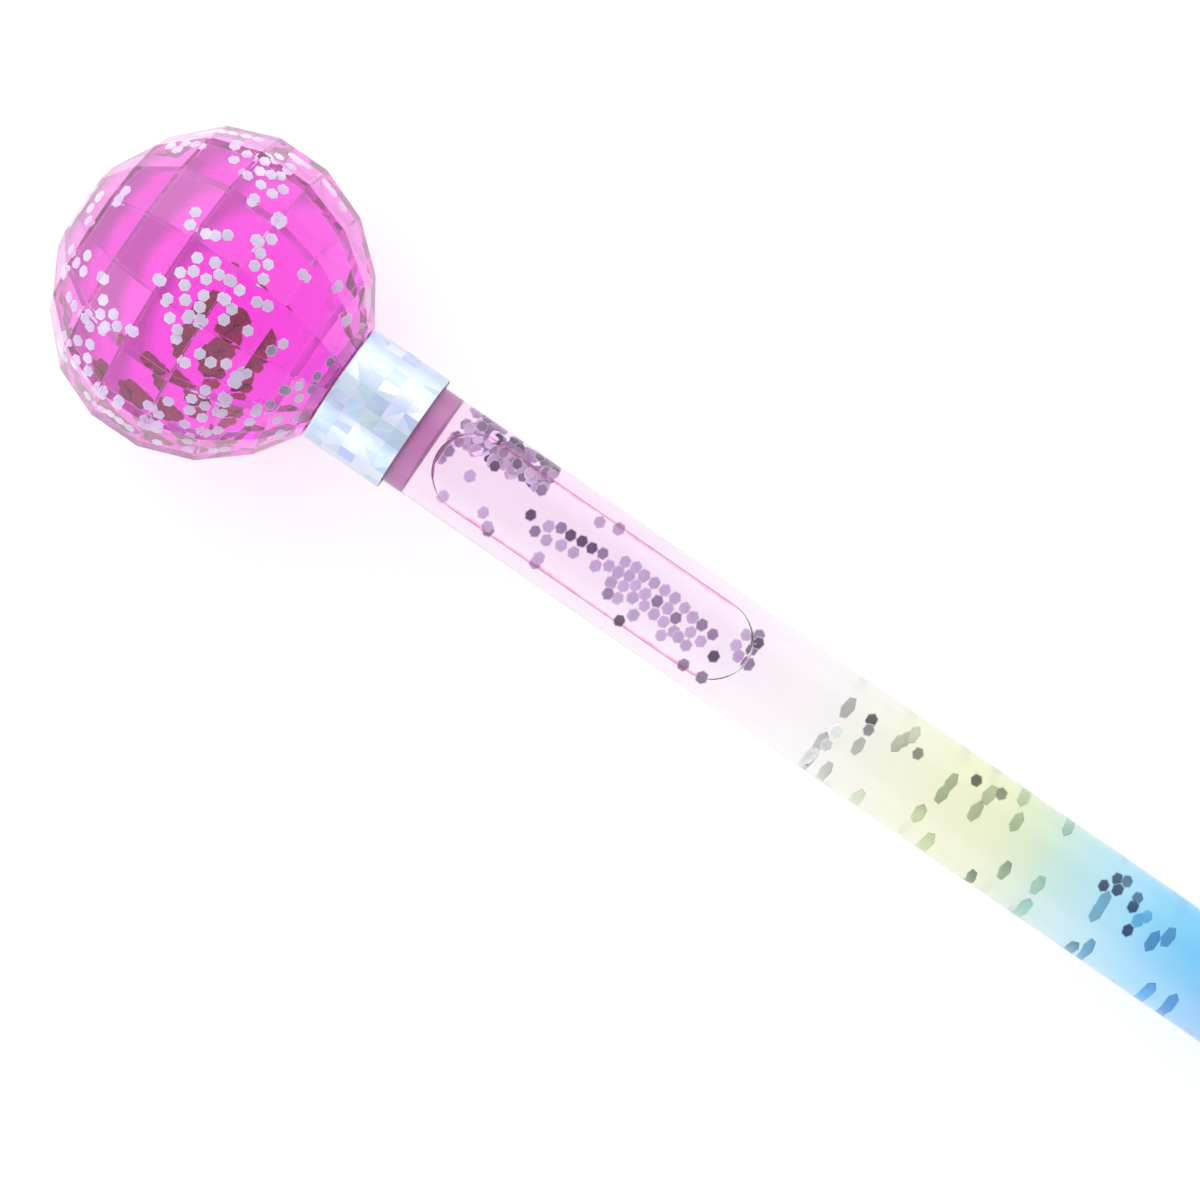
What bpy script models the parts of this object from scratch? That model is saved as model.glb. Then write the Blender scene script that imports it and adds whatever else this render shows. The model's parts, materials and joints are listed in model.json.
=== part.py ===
# Liquid glitter wand, lying on a table. Metres, +Z up.
# A clear faceted ball full of magenta liquid sits on the end of a long clear tube of liquid.
# Both hold loose hexagonal glitter, and a long air bubble sits against the top of the tube.
#
# Everything is drawn in the wand's own axes and hung on one empty at the ball's centre:
# local +Z runs from the ball to the tail, local -X is up, local Y is the table's Y.

import math

import bmesh
import bpy
from mathutils import Euler, Matrix, Vector

# Clearances
GAP = 0.0003                    # between pieces that touch
HAIR = 0.00005                  # between flakes of one clump, so that no two faces are level
FLAKE_TURN = 11.0               # from one flake of a clump to the next, degrees

# Faceted ball: a gem with rings of facets from a flat front to a flat rear that meets the tape
BALL_ACROSS_RADIUS = 0.0229     # to the facet corners, square to the wand
BALL_ALONG_RADIUS = 0.0218      # to the pole that the rear rings are drawn to
FRONT_FLATTEN = 0.96            # the front rings stand this much closer to the middle
FRONT_NARROW = 0.965            # and the two smallest are this much narrower
BALL_SIDES = 16
BALL_BANDS = 9
BALL_WALL = 0.0022
CAVITY_FLAT_ANGLE = 24.0        # where the cavity's front and rear flats cut its rings, degrees

# Neck and stopper
NECK_BORE_RADIUS = 0.0032
NECK_LENGTH = 0.0065
STOPPER_LIP = 0.0014            # how far the stopper's head overlaps the neck's end
STOPPER_HEAD_LENGTH = 0.0015
STOPPER_REACH = 0.0008          # how far the stopper stays back from the cavity

# Tube
TUBE_RADIUS = 0.0075
TUBE_WALL = 0.00125
TUBE_LENGTH = 0.2525
HEAD_PLUG_LENGTH = 0.0066
TAIL_PLUG_LENGTH = 0.0110
PLUG_CHAMFER = 0.0006

# Collar between ball and tube: a sleeve under holographic tape
SLEEVE_WALL = 0.00045
SLEEVE_LENGTH = 0.0118
FOIL_THICKNESS = 0.00015
FOIL_OVERHANG = 0.0001          # tape past the sleeve's tube end
TAIL_FOIL_LENGTH = 0.0090

# Tail cap: a faceted cap pushed over the tube
CAP_SIDES = 12
CAP_SOCKET_DEPTH = 0.0125
CAP_WALL = 0.0016
CAP_KNOB_LENGTH = 0.0096
CAP_SHOULDER_LENGTH = 0.0054    # from the shoulder to the flat end
CAP_FACET_LENGTH = 0.0027       # the last row of facets
CAP_FACET_RADIUS = 0.0074
CAP_END_RADIUS = 0.0032
CAP_LIP = 0.0004

# Air bubble against the top of the tube
BUBBLE_START = 0.0011           # behind the head plug
BUBBLE_LENGTH = 0.0497
BUBBLE_DEPTH = 0.00286          # from the top of the bore down to the liquid

# Hexagonal glitter, one sixteenth of an inch across its flats
FLAKE_FLATS = 0.00159
FLAKE_THICKNESS = 0.0002
FLAKE_OVERLAP = 0.00027         # between neighbours of one clump

# Round pieces have this many sides
ROUND = 48

# Clumps in the ball: name, degrees back from the front pole, degrees round from the top
# towards +Y, heading in degrees and number of flakes
BALL_CLUMPS = [
    ("crown_front", 78.0, 3.0, 20.0, 5),
    ("crown_rear", 104.0, -16.0, 70.0, 4),
    ("arc_front", 70.0, 23.0, 15.0, 5),
    ("arc_rear", 94.0, 28.0, 80.0, 5),
    ("far_rim_front", 54.0, 64.0, 35.0, 4),
    ("far_rim", 76.0, 65.0, 5.0, 5),
    ("far_rim_rear", 123.0, 64.0, 50.0, 3),
    ("neck_far", 136.0, 40.0, 25.0, 3),
    ("neck_near", 137.0, -37.0, 40.0, 5),
    ("pole_rim", 31.0, -36.0, 65.0, 4),
    ("near_row", 62.0, -33.0, 10.0, 5),
    ("near_rim_front", 62.0, -58.0, 30.0, 5),
    ("near_rim", 94.0, -61.0, 0.0, 5),
    ("near_rim_rear", 117.0, -62.0, 55.0, 4),
    ("settled_middle", 101.0, 178.0, 0.0, 7),
    ("settled_near", 83.0, -157.0, 45.0, 7),
    ("settled_rear", 117.0, -165.0, 20.0, 5),
]

# The heap behind the head plug: name, distance from the plug, degrees round from the bottom
# towards +Y, and number of flakes
HEAP_CLUMPS = [
    ("heap_head", 0.0030, 50.0, 7),
    ("heap_middle", 0.0082, 62.0, 7),
    ("heap_tail", 0.0142, 55.0, 5),
]

# Scattered clumps: name, share of the way from the head plug to the tail plug, degrees round
# from the bottom towards +Y, and number of flakes
DRIFT_CLUMPS = [
    ("drift_clear_near", 0.291, -12.0, 3),
    ("drift_clear_far", 0.326, 2.0, 3),
    ("drift_yellow_near", 0.379, -30.0, 2),
    ("drift_yellow_far", 0.410, 4.0, 3),
    ("drift_green_near", 0.445, -18.0, 2),
    ("drift_green_far", 0.468, 0.0, 3),
    ("drift_blue_far", 0.520, 3.0, 4),
    ("drift_blue_near", 0.556, -24.0, 2),
    ("drift_violet_far", 0.653, 2.0, 3),
    ("drift_violet_near", 0.750, -20.0, 3),
    ("drift_tail", 0.852, -8.0, 4),
]

# Clumps under the bubble: name, share of the bubble's length, distance towards +Y, flakes
RAFT_CLUMPS = [
    ("raft_front", 0.34, 0.0010, 7),
    ("raft_middle", 0.53, 0.0002, 7),
    ("raft_tail", 0.71, -0.0006, 7),
]

# Sizes that follow from the ones above
FLAKE_RADIUS = FLAKE_FLATS / math.sqrt(3.0)
FLAKE_PITCH = FLAKE_FLATS - FLAKE_OVERLAP
BAND_ANGLE = math.pi / BALL_BANDS
HALF_SIDE = math.pi / BALL_SIDES
NECK_PLANE = BALL_ALONG_RADIUS * math.cos(BAND_ANGLE)
FRONT_PLANE = NECK_PLANE * FRONT_FLATTEN
FRONT_RADIUS = BALL_ACROSS_RADIUS * math.sin(BAND_ANGLE) * FRONT_NARROW
CAVITY_ACROSS = BALL_ACROSS_RADIUS - BALL_WALL
CAVITY_ALONG = BALL_ALONG_RADIUS - BALL_WALL
CAVITY_FLAT = CAVITY_ALONG * math.cos(math.radians(CAVITY_FLAT_ANGLE))
# a smooth shell that just fits inside the cavity's facets, where the flakes lie
FLAKE_SHELL = math.cos(HALF_SIDE) * math.cos(BAND_ANGLE / 2.0)
FLAKE_ACROSS = CAVITY_ACROSS * FLAKE_SHELL - GAP - FLAKE_THICKNESS / 2.0 - HAIR
FLAKE_ALONG = CAVITY_ALONG * FLAKE_SHELL - GAP - FLAKE_THICKNESS / 2.0 - HAIR
FILL_ACROSS = FLAKE_ACROSS - FLAKE_THICKNESS / 2.0 - HAIR - GAP
FILL_ALONG = FLAKE_ALONG - FLAKE_THICKNESS / 2.0 - HAIR - GAP

TUBE_BORE = TUBE_RADIUS - TUBE_WALL
TUBE_START = NECK_PLANE + GAP
TUBE_END = TUBE_START + TUBE_LENGTH
NECK_RADIUS = TUBE_BORE - GAP
NECK_END = NECK_PLANE + NECK_LENGTH
STOPPER_END = NECK_END + GAP + STOPPER_HEAD_LENGTH
STOPPER_RADIUS = NECK_BORE_RADIUS * math.cos(HALF_SIDE) - GAP
STOPPER_HEAD_RADIUS = NECK_BORE_RADIUS + STOPPER_LIP
HEAD_PLUG_START = STOPPER_END + GAP
HEAD_PLUG_END = HEAD_PLUG_START + HEAD_PLUG_LENGTH
TAIL_PLUG_START = TUBE_END - TAIL_PLUG_LENGTH
FILL_START = HEAD_PLUG_END + GAP
FILL_END = TAIL_PLUG_START - GAP
# a flake lies flat against the round bore, so its corners set how close it comes
WALL_FLAKE_DEPTH = math.sqrt((TUBE_BORE - GAP) ** 2 - FLAKE_RADIUS ** 2) - FLAKE_THICKNESS / 2.0 - HAIR
FILL_RADIUS = WALL_FLAKE_DEPTH - FLAKE_THICKNESS / 2.0 - HAIR - GAP

SLEEVE_BORE = TUBE_RADIUS + GAP
SLEEVE_RADIUS = SLEEVE_BORE + SLEEVE_WALL
FOIL_BORE = SLEEVE_RADIUS + GAP
FOIL_RADIUS = FOIL_BORE + FOIL_THICKNESS
SLEEVE_START = NECK_PLANE + GAP
SLEEVE_END = SLEEVE_START + SLEEVE_LENGTH

CAP_BORE = TUBE_RADIUS + GAP
CAP_RADIUS = (CAP_BORE + CAP_WALL) / math.cos(math.pi / CAP_SIDES)
CAP_START = TUBE_END - CAP_SOCKET_DEPTH
CAP_FLOOR = TUBE_END + GAP
CAP_END = CAP_FLOOR + CAP_KNOB_LENGTH
CAP_SHOULDER = CAP_END - CAP_SHOULDER_LENGTH

BUBBLE_HEIGHT = TUBE_BORE - BUBBLE_DEPTH
BUBBLE_WIDTH = 2.0 * math.sqrt(TUBE_BORE ** 2 - BUBBLE_HEIGHT ** 2)
BUBBLE_FROM = HEAD_PLUG_END + BUBBLE_START

# The wand lies on the belt of the ball and on the tail cap, which sets its slope and height
BELT_ANGLE = (BALL_BANDS + 1) // 2 * BAND_ANGLE
BELT_DOWN = BALL_ACROSS_RADIUS * math.sin(BELT_ANGLE) * math.cos(HALF_SIDE)
BELT_BACK = -BALL_ALONG_RADIUS * math.cos(BELT_ANGLE)
CAP_DOWN = CAP_RADIUS * math.cos(math.pi / CAP_SIDES)
SLOPE = math.atan2(BELT_DOWN - CAP_DOWN, CAP_SHOULDER - BELT_BACK)
BALL_HEIGHT = BELT_DOWN * math.cos(SLOPE) + BELT_BACK * math.sin(SLOPE)
REACH_FRONT = FRONT_PLANE * math.cos(SLOPE) + FRONT_RADIUS * math.cos(HALF_SIDE) * math.sin(SLOPE)
REACH_TAIL = CAP_END * math.cos(SLOPE) + CAP_END_RADIUS * math.cos(math.pi / CAP_SIDES) * math.sin(SLOPE)
BALL_PLACE = (REACH_FRONT - REACH_TAIL) / 2.0


def clear_scene():
    for old in list(bpy.data.objects):
        bpy.data.objects.remove(old, do_unlink=True)
    for old in list(bpy.data.collections):
        bpy.data.collections.remove(old)


def new_collection(name):
    made = bpy.data.collections.new(name)
    bpy.context.scene.collection.children.link(made)
    return made


def new_material(name, color, roughness, metallic=0.0, transmission=0.0):
    made = bpy.data.materials.new(name)
    made.use_nodes = True
    shader = made.node_tree.nodes["Principled BSDF"]
    shader.inputs["Base Color"].default_value = (*color, 1.0)
    shader.inputs["Roughness"].default_value = roughness
    shader.inputs["Metallic"].default_value = metallic
    shader.inputs["Transmission Weight"].default_value = transmission
    made.diffuse_color = (*color, 1.0)
    return made


def new_empty(name, parent=None, location=(0.0, 0.0, 0.0)):
    made = bpy.data.objects.new(name, None)
    parts.objects.link(made)
    made.parent = parent
    made.location = location
    return made


def place(name, mesh, material, parent, collection=None):
    made = bpy.data.objects.new(name, mesh)
    (collection or parts).objects.link(made)
    made.parent = parent
    if material:
        mesh.materials.append(material)
    return made


def as_cutter(cutter):
    cutter.hide_render = True
    cutter.display_type = "WIRE"
    return cutter


def turned(name, profile, material, parent, sides=ROUND, closed=False, facets=False):
    """A turned piece: points (radius, distance along) that run down its outer side."""
    mesh = bpy.data.meshes.new(name)
    shape = bmesh.new()
    line = [shape.verts.new((radius, 0.0, along)) for radius, along in profile]
    for first, second in zip(line, line[1:]):
        shape.edges.new((first, second))
    if closed:
        shape.edges.new((line[-1], line[0]))
    shape.to_mesh(mesh)
    shape.free()
    made = place(name, mesh, material, parent)
    screw = made.modifiers.new("turn", "SCREW")
    screw.axis = "Z"
    screw.angle = math.tau
    screw.steps = sides
    screw.render_steps = sides
    screw.use_merge_vertices = True
    screw.merge_threshold = 0.000001
    screw.use_smooth_shade = not facets
    if facets:
        made.rotation_euler = (0.0, 0.0, math.pi / sides)
    return made


def ring(name, bore, radius, start, end, material, parent):
    return turned(name, [(radius, end), (radius, start), (bore, start), (bore, end)],
                  material, parent, closed=True)


def plug(name, radius, start, end, material, parent):
    """A solid plug with a chamfer at both ends."""
    return turned(name, [
        (0.0, end),
        (radius - PLUG_CHAMFER, end),
        (radius, end - PLUG_CHAMFER),
        (radius, start + PLUG_CHAMFER),
        (radius - PLUG_CHAMFER, start),
        (0.0, start),
    ], material, parent)


def gem_ring(across, along, index):
    """Radius and place of one ring of facet corners, counted from the front pole."""
    angle = index * BAND_ANGLE
    return across * math.sin(angle), -along * math.cos(angle)


def gem_radius(across, along, place):
    """Radius of the gem's outline at any place between its poles."""
    band = min(int(math.acos(-place / along) / BAND_ANGLE), BALL_BANDS - 1)
    first_radius, first_place = gem_ring(across, along, band)
    second_radius, second_place = gem_ring(across, along, band + 1)
    share = (place - first_place) / (second_place - first_place)
    return first_radius + (second_radius - first_radius) * share


def gem_outline(across, along, start, end):
    """The gem's outline between two planes square to the wand, front to rear."""
    rings = [gem_ring(across, along, index) for index in range(BALL_BANDS + 1)]
    between = [ring for ring in rings if start + HAIR < ring[1] < end - HAIR]
    return [(gem_radius(across, along, start), start), *between, (gem_radius(across, along, end), end)]


def front_outline(end):
    """The ball's outside from its flat front to a plane in its belt."""
    outline = []
    for index in range(1, (BALL_BANDS + 1) // 2):
        radius, place = gem_ring(BALL_ACROSS_RADIUS, BALL_ALONG_RADIUS * FRONT_FLATTEN, index)
        outline.append((radius * FRONT_NARROW if index < 3 else radius, place))
    return [*outline, (outline[-1][0], end)]


def build_ball():
    # the halves are welded across the middle of the belt
    seam = GAP / 2.0
    front_cavity = gem_outline(CAVITY_ACROSS, CAVITY_ALONG, -CAVITY_FLAT, -seam)
    turned("ball_front_shell", [
        (0.0, -CAVITY_FLAT),
        *front_cavity,
        *reversed(front_outline(-seam)),
        (0.0, -FRONT_PLANE),
    ], clear_plastic, wand, sides=BALL_SIDES, facets=True)

    # the last facets end as wide as the tape, so that the flat rear face covers its edge
    rear_outside = gem_outline(BALL_ACROSS_RADIUS, BALL_ALONG_RADIUS, seam, NECK_PLANE)
    rear_outside[-1] = (FOIL_RADIUS / math.cos(HALF_SIDE), NECK_PLANE)
    rear_cavity = gem_outline(CAVITY_ACROSS, CAVITY_ALONG, seam, CAVITY_FLAT)
    turned("ball_rear_shell", [
        (NECK_RADIUS, NECK_PLANE),
        *reversed(rear_outside),
        *rear_cavity,
        (NECK_BORE_RADIUS, CAVITY_FLAT),
        (NECK_BORE_RADIUS, NECK_END),
        (NECK_RADIUS, NECK_END),
    ], clear_plastic, wand, sides=BALL_SIDES, closed=True, facets=True)

    turned("ball_stopper", [
        (0.0, STOPPER_END),
        (STOPPER_HEAD_RADIUS, STOPPER_END),
        (STOPPER_HEAD_RADIUS, NECK_END + GAP),
        (STOPPER_RADIUS, NECK_END + GAP),
        (STOPPER_RADIUS, CAVITY_FLAT + STOPPER_REACH),
        (0.0, CAVITY_FLAT + STOPPER_REACH),
    ], stopper_rubber, wand)

    fill_flat = CAVITY_FLAT - GAP
    fill = gem_outline(FILL_ACROSS, FILL_ALONG, -fill_flat, fill_flat)
    turned("ball_liquid", [(0.0, fill_flat), *reversed(fill), (0.0, -fill_flat)],
           magenta_liquid, wand, sides=BALL_SIDES, facets=True)


def build_tube():
    ring("tube", TUBE_BORE, TUBE_RADIUS, TUBE_START, TUBE_END, tinted_plastic, wand)
    plug("head_plug", TUBE_BORE - GAP, HEAD_PLUG_START, HEAD_PLUG_END, pink_plastic, wand)
    plug("tail_plug", TUBE_BORE - GAP, TAIL_PLUG_START, TUBE_END, white_plastic, wand)
    liquid = turned("tube_liquid", [
        (0.0, FILL_END),
        (FILL_RADIUS, FILL_END),
        (FILL_RADIUS, FILL_START),
        (0.0, FILL_START),
    ], pale_liquid, wand)
    cut = liquid.modifiers.new("bubble", "BOOLEAN")
    cut.operation = "DIFFERENCE"
    cut.solver = "EXACT"
    cut.object = bubble_cutter()


def bubble_cutter():
    """A long block with round ends, above the level of the liquid under the bubble."""
    half = BUBBLE_WIDTH / 2.0
    mesh = bpy.data.meshes.new("bubble_cutter")
    shape = bmesh.new()
    stand = Matrix.Rotation(math.pi / 2.0, 4, "Y")
    bmesh.ops.create_cone(shape, cap_ends=True, segments=ROUND, radius1=half, radius2=half,
                          depth=TUBE_RADIUS, matrix=stand)
    far_end = [vert for vert in shape.verts if vert.co.z > 0.0]
    bmesh.ops.translate(shape, verts=far_end, vec=(0.0, 0.0, BUBBLE_LENGTH - BUBBLE_WIDTH))
    shape.to_mesh(mesh)
    shape.free()
    cutter = place("bubble_cutter", mesh, None, wand, cutters)
    cutter.location = (-BUBBLE_HEIGHT - TUBE_RADIUS / 2.0, 0.0, BUBBLE_FROM + half)
    return as_cutter(cutter)


def build_collar():
    ring("collar_sleeve", SLEEVE_BORE, SLEEVE_RADIUS, SLEEVE_START, SLEEVE_END, white_plastic, wand)
    ring("collar_foil", FOIL_BORE, FOIL_RADIUS, SLEEVE_START, SLEEVE_END + FOIL_OVERHANG, foil, wand)


def build_tail():
    ring("tail_foil", TUBE_RADIUS + GAP, TUBE_RADIUS + GAP + FOIL_THICKNESS,
         CAP_START - GAP - TAIL_FOIL_LENGTH, CAP_START - GAP, foil, wand)
    corner = 1.0 / math.cos(math.pi / CAP_SIDES)
    bore = CAP_BORE * corner
    turned("tail_cap", [
        (0.0, CAP_END),
        (CAP_END_RADIUS, CAP_END),
        (CAP_FACET_RADIUS, CAP_END - CAP_FACET_LENGTH),
        (CAP_RADIUS, CAP_SHOULDER),
        (CAP_RADIUS, CAP_START + CAP_LIP),
        (CAP_RADIUS - CAP_LIP, CAP_START),
        (bore, CAP_START),
        (bore, CAP_FLOOR),
        (0.0, CAP_FLOOR),
    ], clear_plastic, wand, sides=CAP_SIDES, facets=True)


def clump_spots(count):
    """Places of flakes in one clump: a middle one, with rings of neighbours around it."""
    spots = [(0.0, 0.0)]
    reach = 1
    while len(spots) < count:
        for step in range(6 * reach):
            angle = math.tau * step / (6 * reach)
            spots.append((reach * math.cos(angle), reach * math.sin(angle)))
        reach += 1
    return spots[:count]


def flake_matrix(point, normal, turn):
    stand = normal.to_track_quat("Z", "X").to_matrix().to_4x4()
    return Matrix.Translation(point) @ stand @ Matrix.Rotation(turn, 4, "Z")


def clump(name, matrices, parent):
    """One clump of overlapping hexagonal flakes, joined into a single solid."""
    def discs(shape, some):
        for matrix in some:
            bmesh.ops.create_cone(shape, cap_ends=True, segments=6, radius1=FLAKE_RADIUS,
                                  radius2=FLAKE_RADIUS, depth=FLAKE_THICKNESS, matrix=matrix)

    mesh = bpy.data.meshes.new(name)
    shape = bmesh.new()
    discs(shape, matrices[:1])
    shape.to_mesh(mesh)
    shape.free()
    made = place(name, mesh, flake_foil, parent)
    if len(matrices) > 1:
        rest = bpy.data.meshes.new(name + "_others")
        shape = bmesh.new()
        discs(shape, matrices[1:])
        shape.to_mesh(rest)
        shape.free()
        others = as_cutter(place(name + "_others", rest, None, parent, cutters))
        join = made.modifiers.new("join", "BOOLEAN")
        join.operation = "UNION"
        join.solver = "EXACT"
        join.use_self = True
        join.object = others
    return made


def lift(index):
    """Flakes of a clump lie a hair above or below each other, so no faces are level."""
    return (index % 3 - 1) * HAIR


def flake_turn(index):
    """Each flake of a clump is turned a little further than the last."""
    return math.radians(FLAKE_TURN * index)


def ball_clump(name, back, round_top, heading, count):
    """A clump on the smooth shell just inside the cavity's facets."""
    size = Vector((FLAKE_ACROSS, FLAKE_ACROSS, FLAKE_ALONG))
    steep = Vector(1.0 / side ** 2 for side in size)
    back = math.radians(back)
    round_top = math.radians(round_top)
    middle = size * Vector((-math.sin(back) * math.cos(round_top),
                            math.sin(back) * math.sin(round_top), -math.cos(back)))
    stand = flake_matrix(middle, (middle * steep).normalized(), math.radians(heading)).to_3x3()
    matrices = []
    for index, (right, forward) in enumerate(clump_spots(count)):
        spot = middle + stand @ Vector((right, forward, 0.0)) * FLAKE_PITCH
        spot /= math.sqrt((spot * steep).dot(spot))
        outward = (spot * steep).normalized()
        matrices.append(flake_matrix(spot + outward * lift(index), outward, flake_turn(index)))
    clump("ball_flakes_" + name, matrices, ball_glitter)


def tube_clump(name, behind, round_bottom, count, parent):
    """A clump that lies against the wall of the bore."""
    matrices = []
    for index, (right, forward) in enumerate(clump_spots(count)):
        angle = math.radians(round_bottom) + right * FLAKE_PITCH / WALL_FLAKE_DEPTH
        outward = Vector((math.cos(angle), math.sin(angle), 0.0))
        spot = outward * (WALL_FLAKE_DEPTH + lift(index))
        spot.z = HEAD_PLUG_END + behind + forward * FLAKE_PITCH
        matrices.append(flake_matrix(spot, outward, flake_turn(index)))
    clump("tube_flakes_" + name, matrices, parent)


def raft_clump(name, share, across, count):
    """A clump that floats on the liquid under the bubble, placed from the bubble's start."""
    height = BUBBLE_HEIGHT + GAP + HAIR + FLAKE_THICKNESS / 2.0
    upward = Vector((-1.0, 0.0, 0.0))
    matrices = []
    for index, (right, forward) in enumerate(clump_spots(count)):
        spot = Vector((-height - lift(index), across + right * FLAKE_PITCH,
                       share * BUBBLE_LENGTH + forward * FLAKE_PITCH))
        matrices.append(flake_matrix(spot, upward, flake_turn(index)))
    clump("bubble_flakes_" + name, matrices, bubble)


clear_scene()
parts = new_collection("liquid_glitter_wand")
cutters = new_collection("cutters")

clear_plastic = new_material("clear_plastic", (0.95, 0.93, 0.97), 0.03, transmission=1.0)
tinted_plastic = new_material("tinted_plastic", (0.86, 0.90, 0.95), 0.04, transmission=1.0)
magenta_liquid = new_material("magenta_liquid", (0.93, 0.08, 0.72), 0.0, transmission=0.9)
pale_liquid = new_material("pale_liquid", (0.97, 0.93, 0.97), 0.0, transmission=0.9)
pink_plastic = new_material("pink_plastic", (0.88, 0.50, 0.74), 0.25)
white_plastic = new_material("white_plastic", (0.90, 0.90, 0.92), 0.3)
stopper_rubber = new_material("stopper_rubber", (0.82, 0.78, 0.80), 0.5)
foil = new_material("holographic_foil", (0.84, 0.87, 0.93), 0.15, metallic=0.9)
flake_foil = new_material("flake_foil", (0.72, 0.70, 0.88), 0.25, metallic=0.8)

wand = new_empty("wand_axis", location=(BALL_PLACE, 0.0, BALL_HEIGHT))
wand.rotation_euler = Euler((0.0, math.pi / 2.0 + SLOPE, 0.0))
ball_glitter = new_empty("ball_glitter_axis", wand)
bubble = new_empty("bubble_axis", wand, (0.0, 0.0, BUBBLE_FROM))
heap = new_empty("heap_axis", wand)
drift = new_empty("drift_axis", wand)

build_ball()
build_tube()
build_collar()
build_tail()
for entry in BALL_CLUMPS:
    ball_clump(*entry)
for entry in HEAP_CLUMPS:
    tube_clump(*entry, heap)
for name, share, round_bottom, count in DRIFT_CLUMPS:
    tube_clump(name, share * (TAIL_PLUG_START - HEAD_PLUG_END), round_bottom, count, drift)
for entry in RAFT_CLUMPS:
    raft_clump(*entry)
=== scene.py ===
import json
import math
import random

import bmesh
import bpy
from bpy.props import FloatProperty, FloatVectorProperty, IntProperty, PointerProperty
from mathutils import Matrix, Vector


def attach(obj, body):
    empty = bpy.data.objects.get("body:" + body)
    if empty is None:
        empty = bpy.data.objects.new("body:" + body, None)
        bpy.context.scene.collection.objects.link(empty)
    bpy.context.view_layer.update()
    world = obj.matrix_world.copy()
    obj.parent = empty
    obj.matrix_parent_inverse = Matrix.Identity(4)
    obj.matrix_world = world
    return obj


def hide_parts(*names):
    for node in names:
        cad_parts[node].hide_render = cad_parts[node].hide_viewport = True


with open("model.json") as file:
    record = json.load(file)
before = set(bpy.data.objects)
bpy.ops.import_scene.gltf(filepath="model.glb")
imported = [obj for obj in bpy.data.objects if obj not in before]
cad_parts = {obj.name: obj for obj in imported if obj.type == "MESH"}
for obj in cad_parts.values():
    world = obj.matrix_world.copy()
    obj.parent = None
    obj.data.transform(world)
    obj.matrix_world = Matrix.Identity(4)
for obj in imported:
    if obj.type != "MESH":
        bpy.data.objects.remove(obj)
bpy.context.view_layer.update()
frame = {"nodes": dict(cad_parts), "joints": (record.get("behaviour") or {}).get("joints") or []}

bl_info = {
    "name": "Liquid glitter wand",
    "version": (1, 0, 0),
    "blender": (4, 5, 0),
    "location": "View3D > Sidebar > Glitter Wand",
    "description": "Dresses the packed glitter wand: gem ball, tube, liquids, bubble, flakes and prism tape",
    "category": "Add Mesh",
}

MM = 0.001

# Wand axes: X along from the ball's centre to the tail, Y across, Z up out of the floor
SWIRL = next(joint for joint in frame["joints"] if joint["name"] == "ball_swirl")
ALONG = Vector(SWIRL["axis"]).normalized()
ACROSS = Vector((0.0, 1.0, 0.0))
UP = ALONG.cross(ACROSS)
WAND = Matrix((ALONG, ACROSS, UP)).transposed().to_4x4()
WAND.translation = Vector(SWIRL["pos_m"])
TO_WAND = WAND.inverted()


def reach(node):
    """Lowest and highest place of a CAD node along the wand, and its largest radius."""
    corners = [TO_WAND @ vertex.co for vertex in frame["nodes"][node].data.vertices]
    places = [corner.x for corner in corners]
    return min(places), max(places), max(math.hypot(corner.y, corner.z) for corner in corners)


def middle(node):
    """Centre of a CAD node in the wand's axes."""
    vertices = frame["nodes"][node].data.vertices
    return TO_WAND @ (sum((vertex.co for vertex in vertices), Vector()) / len(vertices))


def clumps(word):
    """Names of the CAD clumps that begin with a word, in order."""
    return sorted(name for name in frame["nodes"] if name.startswith(word))


TUBE_START, TUBE_END, TUBE_RADIUS = reach("tube")
HEAD_PLUG_START, HEAD_PLUG_END, PLUG_RADIUS = reach("head_plug")
TAIL_PLUG_START, TAIL_PLUG_END, _ = reach("tail_plug")
FOIL_START, FOIL_END, FOIL_RADIUS = reach("collar_foil")
TAIL_FOIL_START, TAIL_FOIL_END, TAIL_FOIL_RADIUS = reach("tail_foil")
CAP_START, CAP_END, CAP_RADIUS = reach("tail_cap")
FRONT_PLANE = -reach("ball_front_shell")[0]
NECK_END = reach("ball_rear_shell")[1]


def length_setting(name, description, default, least, most):
    """A length in millimetres that the panel shows as a distance."""
    return FloatProperty(name=name, description=description, default=default * MM, min=least * MM,
                         max=most * MM, subtype="DISTANCE", unit="LENGTH")


def plain_setting(kind, name, description, default, least, most):
    """A count or a share."""
    return kind(name=name, description=description, default=default, min=least, max=most)


def colour_setting(name, description, default):
    """A linear colour."""
    return FloatVectorProperty(name=name, description=description, default=default, size=3, min=0.0,
                               max=1.0, subtype="COLOR")


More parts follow.
